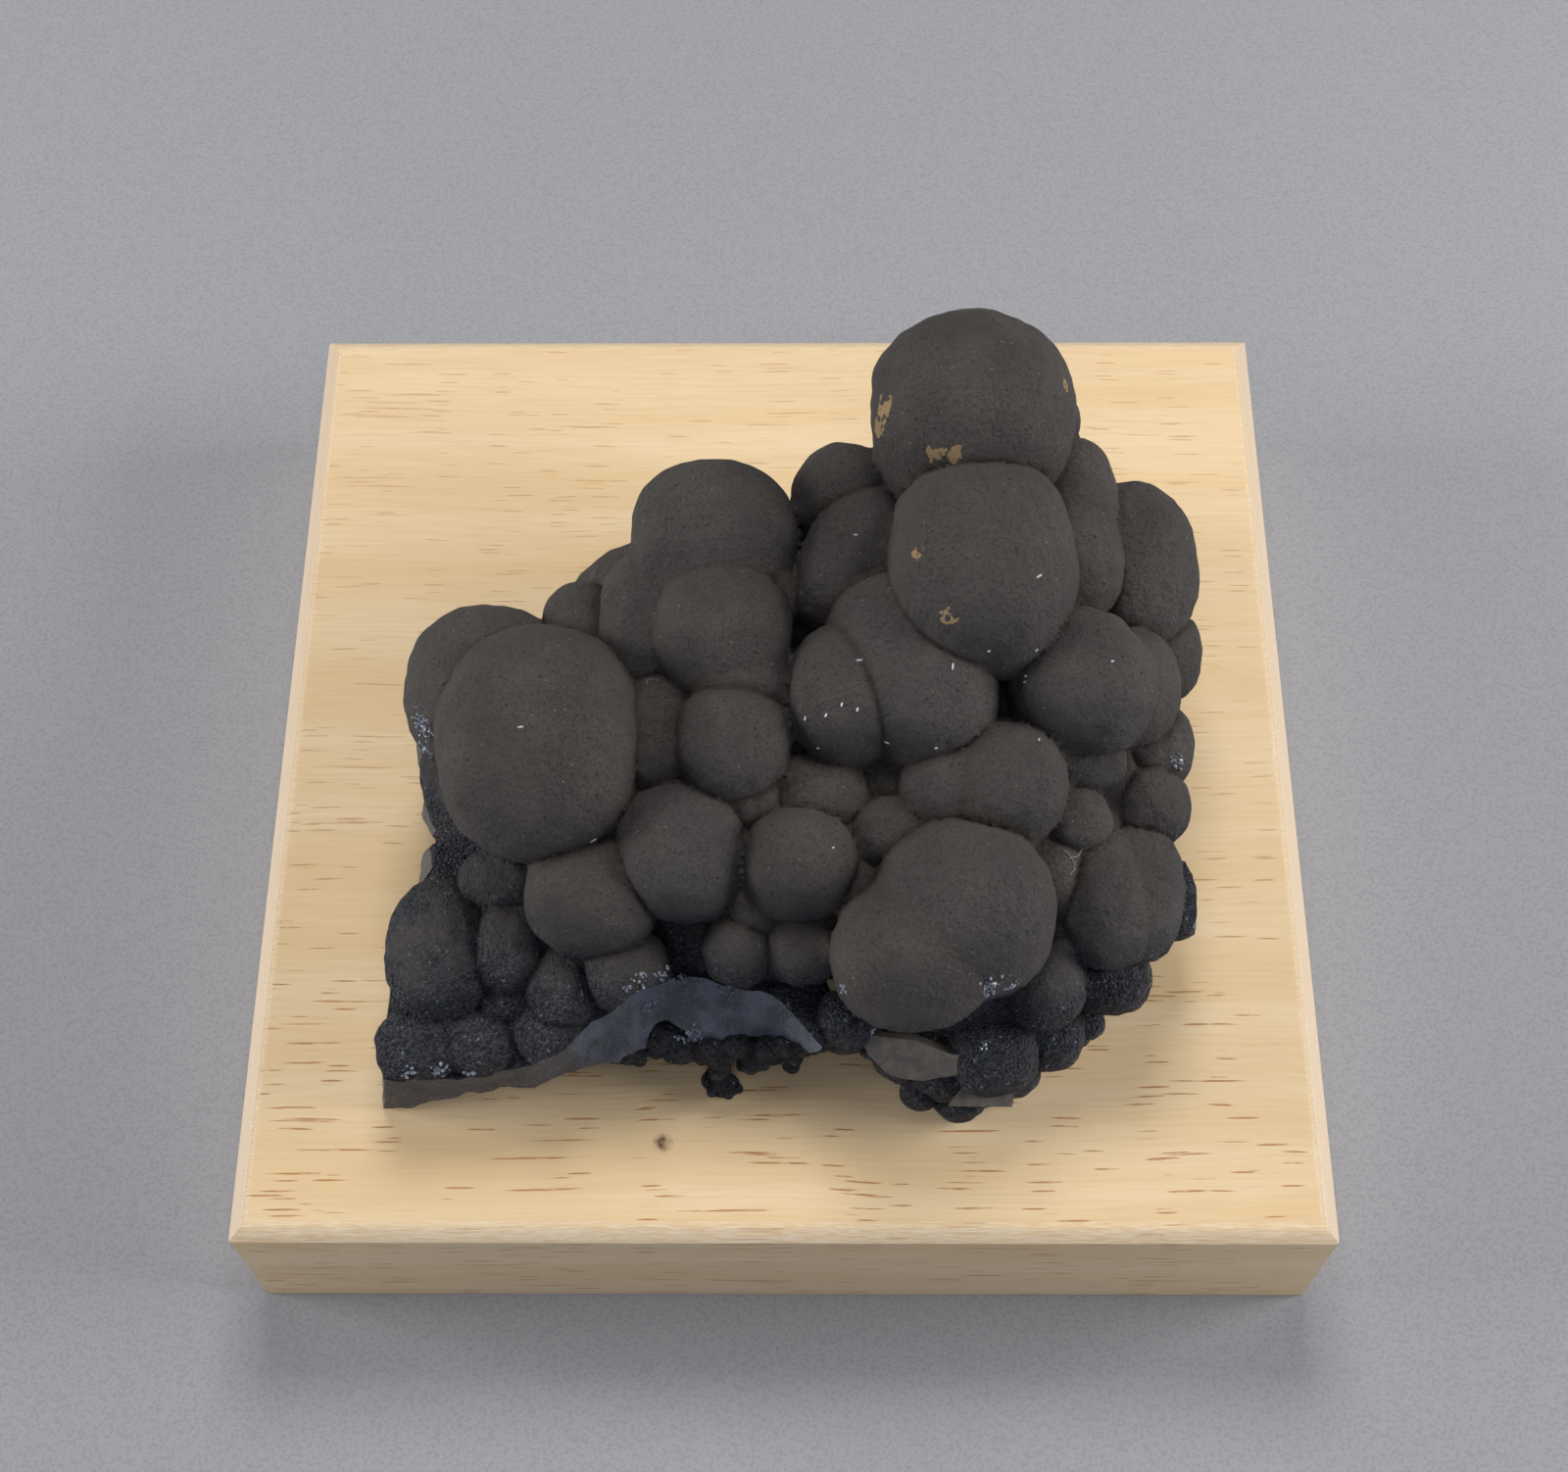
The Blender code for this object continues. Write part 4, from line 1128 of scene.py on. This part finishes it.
def pine_material(settings, knot):
    """Pine, planed and finished clear and matt.

    It gives pale straight grain along X, short red-brown resin lines,
    bevels paler from sanding and from painted light, and greyer cut ends.
    """
    tree, surface = fresh_tree("planed_pine")
    place = add(tree, "place")
    wander = add(tree, "wander", place, per_mm(PINE_WANDER), 2.0)
    wander = add(tree, "shift", wander, (0.0, PINE_WANDER_BY * MM, PINE_WANDER_BY * MM), place)
    bands = add(tree, "noise", add(tree, "stretch", wander, streak(*PINE_BANDS)), 1.0, 2.0)
    fibres = add(tree, "noise", add(tree, "stretch", wander, streak(*PINE_FIBRES)), 1.0, 4.0)
    base = add(tree, "mix", add(tree, "range", bands, 0.3, 0.7), settings.pine_light,
               settings.pine_gold)
    base = add(tree, "mix", add(tree, "range", fibres, 0.35, 0.75, 0.0, 0.4), base,
               settings.pine_fibre)
    lines = None
    for width, length, low, high in RESIN_LINES:
        cells = add(tree, "cells", add(tree, "stretch", wander, streak(length, width)), 1.0)
        pick = add(tree, "colour_parts", cells.outputs["Color"])
        dash = add(tree, "multiply", add(tree, "range", cells.outputs["Distance"], 0.24, 0.16),
                   add(tree, "range", pick.outputs[0], low, high))
        lines = dash if lines is None else add(tree, "maximum", lines, dash)
    broken = add(tree, "noise", add(tree, "stretch", wander, streak(*PINE_BROKEN)), 1.0, 2.0)
    lines = add(tree, "multiply", lines, add(tree, "range", broken, 0.3, 0.55, 0.35, 1.0))
    spot = add(tree, "vector_parts", place)
    to_front = add(tree, "range", spot.outputs["Y"], RESIN_FAINT_FROM * MM,
                   RESIN_FULL_FROM * MM, 0.45, 0.9)
    lines = add(tree, "multiply", lines, to_front)
    base = add(tree, "mix", lines, base, settings.pine_resin)
    facing = add(tree, "vector_parts", add(tree, "normal"))
    # lighter on the rolled edge: partly sanded wood, partly painted light
    slope = add(tree, "multiply", add(tree, "range", facing.outputs["Z"], 0.1, 0.3),
                add(tree, "range", facing.outputs["Z"], 0.998, 0.95))
    hairs = add(tree, "noise", add(tree, "stretch", wander, streak(*PINE_HAIRS)), 1.0, 2.0)
    # the sanded colour is partly painted light on the rolled edge
    sanded = add(tree, "mix", add(tree, "range", hairs, 0.35, 0.65, 0.0, 0.8),
                 settings.pine_sanded_and_lit, settings.pine_fibre)
    base = add(tree, "mix", add(tree, "multiply", slope, 0.7), base, sanded)
    ends = add(tree, "range", add(tree, "absolute", facing.outputs["X"]), 0.25, 0.5)
    base = add(tree, "mix", add(tree, "multiply", ends, 0.6), base, settings.pine_end)
    away = add(tree, "distance", place, knot)
    blotch = add(tree, "noise", place, per_mm(KNOT_BLOTCH), 2.0)
    dark = add(tree, "multiply", add(tree, "range", away, KNOT_RADIUS * MM, KNOT_CORE * MM),
               add(tree, "range", blotch, 0.35, 0.6, 0.45, 1.0))
    base = add(tree, "mix", dark, base, settings.pine_knot)
    tree.links.new(base, surface.inputs["Base Color"])
    tree.links.new(add(tree, "range", fibres, 0.3, 0.7, 0.5, 0.62), surface.inputs["Roughness"])
    surface.inputs["Specular IOR Level"].default_value = 0.35
    rise = add(tree, "subtract", fibres, add(tree, "multiply", lines, 0.6))
    bump = add(tree, "bump", 0.5, PINE_BUMP * MM, rise)
    tree.links.new(bump, surface.inputs["Normal"])


FLOOR_FLECK_WIDTH = 0.35


def floor_material(settings):
    """Plain pale grey paper under the board."""
    tree, surface = fresh_tree("pale_paper")
    place = add(tree, "place")
    cloud = add(tree, "noise", place, per_mm(FLOOR_FLECK_WIDTH), 2.0)
    base = add(tree, "mix", add(tree, "range", cloud, 0.45, 0.65, 0.0, 0.6), settings.floor,
               settings.floor_fleck)
    tree.links.new(base, surface.inputs["Base Color"])
    surface.inputs["Roughness"].default_value = 0.85
    surface.inputs["Specular IOR Level"].default_value = 0.15


# what the photograph shows at a pixel: column, row, radius in mm, points
DRUSES = (
    (447, 1092, 0.8, 26), (418, 1094, 0.7, 18), (480, 1096, 0.5, 8),
    (706, 1056, 1.1, 60), (662, 1028, 0.7, 22), (641, 1008, 0.6, 14),
    (740, 1007, 0.6, 14), (1010, 1008, 1.3, 44), (1032, 1006, 0.8, 18),
    (861, 1008, 0.6, 14), (432, 740, 1.2, 60), (435, 764, 0.9, 30),
    (890, 1052, 0.5, 10), (1200, 778, 0.8, 16), (1200, 862, 0.9, 20),
    (656, 995, 0.7, 14), (676, 993, 0.7, 14), (694, 997, 0.6, 10), (1005, 1066, 0.6, 10),
)
DRUSE_SEED = 3
# half width of a point in mm, its half length in half widths, spread and tilt
DRUSE_POINT = (0.07, 0.17)
DRUSE_LONG = 1.5
DRUSE_SPREAD = 0.5
DRUSE_TILT = 0.7

# loose white splinters: column, row, length in mm, angle in degrees
SPLINTERS = (
    (877, 674, 0.75, 20), (972, 680, 0.7, 80), (905, 757, 0.75, 15), (859, 719, 0.45, 75),
    (875, 724, 0.45, 70), (843, 730, 0.45, 60), (822, 733, 0.5, 65), (835, 763, 0.45, 40),
    (955, 763, 0.35, 10), (1046, 696, 0.4, 0), (1060, 755, 0.4, 60), (1135, 675, 0.4, 20),
    (605, 857, 0.8, 25), (1060, 588, 0.8, 30), (1009, 664, 0.35, 10), (1057, 663, 0.4, 45),
    (873, 546, 0.45, 0), (1047, 690, 0.35, 5), (531, 742, 0.6, 10), (850, 865, 0.35, 30),
)
SPLINTER_LIFT = 0.06
SPLINTER_HALF_WIDE = 0.09
SPLINTER_SPIN = 0.3
SPLINTER_SIDES = 4

# tan crust stuck on the skin: column, row, radius in mm, radius of its open middle
TAN_PATCHES = (
    (902, 418, 1.35, 0.0), (897, 436, 1.15, 0.0), (955, 463, 1.2, 0.0), (973, 461, 1.1, 0.0),
    (1087, 392, 0.7, 0.2), (937, 565, 0.75, 0.25), (967, 629, 0.95, 0.4),
)

# lint: pixels along each fibre
LINTS = (
    ((1086, 868), (1093, 876), (1096, 886), (1091, 893)),
    ((1091, 876), (1100, 873), (1104, 866)),
    ((660, 699), (662, 694), (672, 695)),
)
LINT_RADIUS = 0.028
LINT_LIFT = 0.08
KNOT_SEEN_AT = (676, 1166)


# part of a crystal's length that is a prism
PRISM_SHARE = 0.5


def double_pyramid(mesh, place, axis, half_long, half_wide, spin, sides=6):
    """A small crystal: a prism drawn to a point at both ends."""
    turn = axis.to_track_quat("Z", "Y").to_matrix().to_4x4() @ Matrix.Rotation(spin, 4, "Z")
    frame_at = Matrix.Translation(place) @ turn
    tips = [mesh.verts.new(frame_at @ Vector((0.0, 0.0, side * half_long * MM)))
            for side in (-1.0, 1.0)]
    rings = []
    for side in (-PRISM_SHARE, PRISM_SHARE):
        rings.append([mesh.verts.new(frame_at @ (Vector((
            half_wide * math.cos(2.0 * math.pi * k / sides),
            half_wide * math.sin(2.0 * math.pi * k / sides),
            side * half_long)) * MM)) for k in range(sides)])
    for k in range(sides):
        after = (k + 1) % sides
        mesh.faces.new((rings[0][k], rings[0][after], rings[1][after], rings[1][k]))
        mesh.faces.new((rings[1][k], rings[1][after], tips[1]))
        mesh.faces.new((rings[0][after], rings[0][k], tips[0]))


def piece_from(name, mesh, material):
    """Linked object from a bmesh with one material."""
    data = bpy.data.meshes.new(name)
    mesh.to_mesh(data)
    mesh.free()
    data.materials.append(material_named(material))
    return linked(name, data)


def skin_tree():
    """Search tree of the finished specimen."""
    return BVHTree.FromObject(bpy.data.objects["specimen"],
                              bpy.context.evaluated_depsgraph_get())


def side_vectors(normal):
    """Two directions along the skin at a normal."""
    first = normal.orthogonal().normalized()
    return first, normal.cross(first)


def build_druses(tree):
    """Crowds of tiny crystals along the rims and the break."""
    dice = random.Random(DRUSE_SEED)
    mesh = bmesh.new()
    for column, row, radius, count in DRUSES:
        centre, normal = point_seen_at(tree, column, row)
        first, second = side_vectors(normal)
        for _ in range(count):
            shift = (first * dice.gauss(0.0, DRUSE_SPREAD)
                     + second * dice.gauss(0.0, DRUSE_SPREAD))
            place, facing, _, _ = tree.find_nearest(centre + shift * radius * MM)
            tilt = Vector([dice.uniform(-DRUSE_TILT, DRUSE_TILT) for _ in range(3)])
            size = dice.uniform(*DRUSE_POINT)
            double_pyramid(mesh, place, (facing + tilt).normalized(), size * DRUSE_LONG,
                           size, dice.uniform(0.0, math.pi))
    return piece_from("quartz_points", mesh, "quartz_druse")


def build_splinters(tree):
    """Loose white splinters lying on the skin."""
    right, up, _ = camera_axes()
    mesh = bmesh.new()
    for column, row, length, angle in SPLINTERS:
        place, normal = point_seen_at(tree, column, row)
        turn = math.radians(angle)
        along = right * math.cos(turn) + up * math.sin(turn)
        along = (along - normal * along.dot(normal)).normalized()
        double_pyramid(mesh, place + normal * SPLINTER_LIFT * MM, along, length / 2,
                       SPLINTER_HALF_WIDE, SPLINTER_SPIN, SPLINTER_SIDES)
    return piece_from("white_splinters", mesh, "barite_splinters")


def build_lint(tree):
    """Fine fibres caught on the skin."""
    curve = bpy.data.curves.new("lint", "CURVE")
    curve.dimensions = "3D"
    curve.bevel_depth = LINT_RADIUS * MM
    curve.bevel_resolution = 2
    curve.use_fill_caps = True
    for pixels in LINTS:
        spline = curve.splines.new("BEZIER")
        spline.bezier_points.add(len(pixels) - 1)
        for point, pixel in zip(spline.bezier_points, pixels):
            place, normal = point_seen_at(tree, *pixel)
            point.co = place + normal * LINT_LIFT * MM
            point.handle_left_type = "AUTO"
            point.handle_right_type = "AUTO"
    curve.materials.append(material_named("cotton_lint"))
    return linked("lint", curve)


# upright edges of the board are rounded by so much, in mm
EDGE_ROUNDING = 0.25
SHARP_ANGLE = 28.0


def build_board(roll, drop, steps):
    """Square board whose top rolls down to a sharp edge all round."""
    half = BOARD_SIDE / 2 * MM
    tall = BOARD_THICKNESS * MM
    levels = [(half, 0.0)]
    for step in range(steps, -1, -1):
        share = step / steps
        levels.append((half - roll * (1.0 - share), tall - drop * share ** 2))
    mesh = bmesh.new()
    rings = [[mesh.verts.new((x * wide, y * wide, height))
              for x, y in ((-1, -1), (1, -1), (1, 1), (-1, 1))] for wide, height in levels]
    for low, high in zip(rings, rings[1:]):
        for k in range(4):
            after = (k + 1) % 4
            mesh.faces.new((low[k], low[after], high[after], high[k]))
    mesh.faces.new(rings[-1])
    mesh.faces.new(rings[0][::-1])
    upright = [edge for edge in mesh.edges if edge.calc_length() > tall / 2
               and abs(edge.verts[0].co.z - edge.verts[1].co.z) > tall / 2]
    bmesh.ops.bevel(mesh, geom=upright, offset=EDGE_ROUNDING * MM, segments=2,
                    profile=0.5, affect="EDGES")
    item = piece_from("board", mesh, "planed_pine")
    item.data.shade_smooth()
    item.data.set_sharp_from_angle(angle=math.radians(SHARP_ANGLE))
    return item


def build_floor():
    """Plain floor a hair below the board."""
    mesh = bmesh.new()
    bmesh.ops.create_grid(mesh, x_segments=1, y_segments=1, size=FLOOR_HALF,
                          matrix=Matrix.Translation((0.0, 0.0, -FLOOR_DROP)))
    return piece_from("floor", mesh, "pale_paper")


# soft lamps at both sides and high at the back: name, place in metres, size, share
LAMPS = (
    ("left_lamp", (-0.53, 0.0, 0.18), 0.25, 2.5),
    ("right_lamp", (0.51, 0.0, 0.24), 0.3, 2.9),
    ("back_lamp", (0.0, 0.26, 0.52), 0.2, 1.5),
    ("front_lamp", (0.0, -0.26, 0.52), 0.2, 0.3),
)
LAMP_TARGET = (0.0, 0.0, 0.03)
FILL_PLACE = (0.0, -0.53, 0.17)
FILL_SIZE = 0.25
FLOOR_HALF = 2.0
FLOOR_DROP = 0.0001


def add_lamp(name, place, target, size, power, colour):
    """One soft square lamp that faces a target, places in metres."""
    data = bpy.data.lights.new(name, "AREA")
    data.shape = "SQUARE"
    data.size = size
    data.energy = power
    data.color = colour[:3]
    item = linked(name, data)
    item.location = place
    item.rotation_euler = (Vector(target) - Vector(place)).to_track_quat("-Z", "Y").to_euler()


def build_camera():
    """Camera at the photograph's place and angle."""
    right, up, forward = camera_axes()
    data = bpy.data.cameras.new("photo_camera")
    data.sensor_width = SENSOR_WIDE
    data.lens = CAMERA_FOCUS * SENSOR_WIDE / PHOTO_WIDE
    data.clip_start = CAMERA_CLIP * MM
    item = linked("photo_camera", data)
    axes = Matrix((right, up, -forward)).transposed().to_4x4()
    item.matrix_world = Matrix.Translation(Vector(CAMERA_PLACE) * MM) @ axes
    bpy.context.scene.camera = item


def colour_property(name, default, description):
    """A colour property whose default is an sRGB hex colour."""
    return bpy.props.FloatVectorProperty(
        name=name, default=linear(default), description=description, subtype="COLOR",
        size=4, min=0.0, max=1.0)


class SpecimenSettings(bpy.types.PropertyGroup):
    """Sizes and colours of the romanechite."""

    voxel: bpy.props.FloatProperty(
        name="Skin fineness", default=0.36 * MM, min=0.3 * MM, unit="LENGTH", precision=5,
        description="Voxel size that melts the lumps into one skin")
    beard_voxel: bpy.props.FloatProperty(
        name="Beard fineness", default=0.18 * MM, min=0.1 * MM, unit="LENGTH", precision=5,
        description="Voxel size for the small hanging lumps")
    skin_light: colour_property("Skin light", "#534E4B", "Warm tops of the lumps")
    skin_dark: colour_property("Skin dark", "#464240", "Clouds in the warm skin")
    skin_grey: colour_property("Skin grey", "#494849", "Cooler tone of some lumps")
    skin_fleck: colour_property("Skin fleck", "#302C2B", "Fine dark grain of the velvet")
    crease_rust: colour_property("Crease rust", "#4A3329", "Red-brown film beside creases")
    # painted shade for the bottoms of the creases and the small pits
    painted_recess_shade: colour_property("Crease dark", "#1C1918", "Bottom of the creases")
    tan_crust: colour_property("Tan crust", "#9C8360", "Patches of tan crust")
    dust: colour_property("Dust", "#8F8B88", "Pale dust specks")
    chip_grey: colour_property("Chip grey", "#625B52", "Smooth broken chip")
    grain_dark: colour_property("Grain dark", "#191B21", "Dark grains low down")
    grain_mid: colour_property("Grain middle", "#3C3F49", "Middle grains low down")
    # painted glint on a few of the grains
    grain_glint: colour_property("Grain glint", "#6C7280", "Grains that glint")
    break_dark: colour_property("Break dark", "#3E434A", "Dark clouds of the break")
    break_light: colour_property("Break light", "#5D626D", "Light clouds of the break")
    break_brown: colour_property("Break brown", "#47433F", "Brown left end of the break")
    break_pale: colour_property("Break pale", "#7C8394", "Pale specks of the break")
    crystal_white: colour_property("Crystal white", "#A9AFBD", "Crowded quartz points")
    splinter_white: colour_property("Splinter white", "#E6E4DF", "Loose white splinters")
    crystal_grey: colour_property("Crystal grey", "#6B7080", "Shaded quartz points")


class BoardSettings(bpy.types.PropertyGroup):
    """Sizes and colours of the board."""

    roll: bpy.props.FloatProperty(
        name="Rolled edge", default=2.1 * MM, min=0.5 * MM, unit="LENGTH", precision=4,
        description="Width along which the sanded top rolls down to its edge")
    drop: bpy.props.FloatProperty(
        name="Edge drop", default=1.1 * MM, min=0.1 * MM, unit="LENGTH", precision=4,
        description="How far the edge lies below the top")
    steps: bpy.props.IntProperty(
        name="Rolled steps", default=6, min=2, max=12,
        description="Facets across the rolled edge")
    pine_light: colour_property("Pine light", "#E8CFA9", "Palest wood")
    pine_gold: colour_property("Pine gold", "#E2C598", "Warmer bands")
    pine_fibre: colour_property("Pine fibre", "#D6B88C", "Fine fibres")
    pine_resin: colour_property("Resin line", "#AC7443", "Short red-brown lines")
    # partly sanded wood and partly painted light on the rolled edge
    pine_sanded_and_lit: colour_property("Sanded bevel", "#F0DEC4", "Sanded top edges")
    pine_end: colour_property("Cut end", "#BBAA9A", "Greyer end grain")
    pine_knot: colour_property("Pin knot", "#57381F", "Tiny dark knot")


class StageSettings(bpy.types.PropertyGroup):
    """Floor colour and lamp strength."""

    lamp_power: bpy.props.FloatProperty(
        name="Lamp power", default=1.0, min=0.0, description="Power of each soft lamp in watts")
    fill_power: bpy.props.FloatProperty(
        name="Fill power", default=0.5, min=0.0, description="Power of the front fill in watts")
    sky: bpy.props.FloatProperty(
        name="Sky", default=0.02, min=0.0, description="Strength of the even surround light")
    lamp_colour: colour_property("Lamp colour", "#FFFDFA", "Soft overhead lamps")
    fill_colour: colour_property("Fill colour", "#D5E2FF", "Cool light from the front")
    floor: colour_property("Floor", "#9C9EA4", "Plain pale floor")
    floor_fleck: colour_property("Floor fleck", "#8C8E94", "Paper fibres")


class ROMANECHITE_OT_specimen(bpy.types.Operator):
    """Build the romanechite crust as one skin of lumps."""

    bl_idname = "romanechite.specimen"
    bl_label = "Romanechite"

    def execute(self, context):
        settings = context.scene.romanechite
        item = build_skin(settings.voxel / MM, settings.beard_voxel / MM)
        tree = skin_tree()
        patches = [(point_seen_at(tree, column, row)[0], radius, middle)
                   for column, row, radius, middle in TAN_PATCHES]
        skin_material(settings, patches)
        break_material(settings)
        chip_material(settings)
        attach(item, "root")
        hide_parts("romanechite")
        return {"FINISHED"}


class ROMANECHITE_OT_points(bpy.types.Operator):
    """Scatter the tiny crystals, splinters and lint on the skin."""

    bl_idname = "romanechite.points"
    bl_label = "Crystals and lint"

    def execute(self, context):
        settings = context.scene.romanechite
        tree = skin_tree()
        crystal_material(settings)
        splinter_material(settings)
        lint_material(settings)
        for item in (build_druses(tree), build_splinters(tree), build_lint(tree)):
            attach(item, "root")
        return {"FINISHED"}


class ROMANECHITE_OT_board(bpy.types.Operator):
    """Build the planed pine board."""

    bl_idname = "romanechite.board"
    bl_label = "Pine board"

    def execute(self, context):
        settings = context.scene.romanechite_board
        item = build_board(settings.roll, settings.drop, settings.steps)
        pine_material(settings, knot_place())
        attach(item, "root")
        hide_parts("pine_board")
        return {"FINISHED"}


def knot_place():
    """Where the camera sees the pin knot on the board's top, in metres."""
    direction = ray_through(*KNOT_SEEN_AT)
    start = Vector(CAMERA_PLACE)
    reach = (BOARD_THICKNESS - start.z) / direction.z
    return tuple((start + direction * reach) * MM)


class ROMANECHITE_OT_stage(bpy.types.Operator):
    """Set up the plain floor, the soft lamps and the camera."""

    bl_idname = "romanechite.stage"
    bl_label = "Stage"

    def execute(self, context):
        settings = context.scene.romanechite_stage
        floor_material(settings)
        build_floor()
        for name, place, size, share in LAMPS:
            add_lamp(name, place, LAMP_TARGET, size, settings.lamp_power * share,
                     settings.lamp_colour)
        add_lamp("front_fill", FILL_PLACE, LAMP_TARGET, FILL_SIZE,
                 settings.fill_power, settings.fill_colour)
        world = bpy.data.worlds.new("surround")
        world.use_nodes = True
        back = world.node_tree.nodes["Background"]
        back.inputs["Color"].default_value = settings.fill_colour
        back.inputs["Strength"].default_value = settings.sky
        context.scene.world = world
        context.scene.view_settings.view_transform = "Standard"
        build_camera()
        return {"FINISHED"}


class ROMANECHITE_PT_panel(bpy.types.Panel):
    """Buttons that build each piece, in order."""

    bl_idname = "ROMANECHITE_PT_panel"
    bl_label = "Romanechite"
    bl_space_type = "VIEW_3D"
    bl_region_type = "UI"
    bl_category = "Romanechite"

    def draw(self, context):
        for operator in OPERATORS:
            self.layout.operator(operator.bl_idname)


OPERATORS = (ROMANECHITE_OT_specimen, ROMANECHITE_OT_points, ROMANECHITE_OT_board,
             ROMANECHITE_OT_stage)
SETTINGS = {"romanechite": SpecimenSettings, "romanechite_board": BoardSettings,
            "romanechite_stage": StageSettings}
CLASSES = (*SETTINGS.values(), *OPERATORS, ROMANECHITE_PT_panel)


def register():
    """Make the operators, the panel and the settings known."""
    for item in CLASSES:
        bpy.utils.register_class(item)
    for name, group in SETTINGS.items():
        setattr(bpy.types.Scene, name, bpy.props.PointerProperty(type=group))


def unregister():
    """Take them away again."""
    for name in SETTINGS:
        delattr(bpy.types.Scene, name)
    for item in reversed(CLASSES):
        bpy.utils.unregister_class(item)


def main():
    """Build everything in order."""
    register()
    bpy.ops.romanechite.specimen()
    bpy.ops.romanechite.points()
    bpy.ops.romanechite.board()
    bpy.ops.romanechite.stage()


if __name__ == "__main__":
    main()
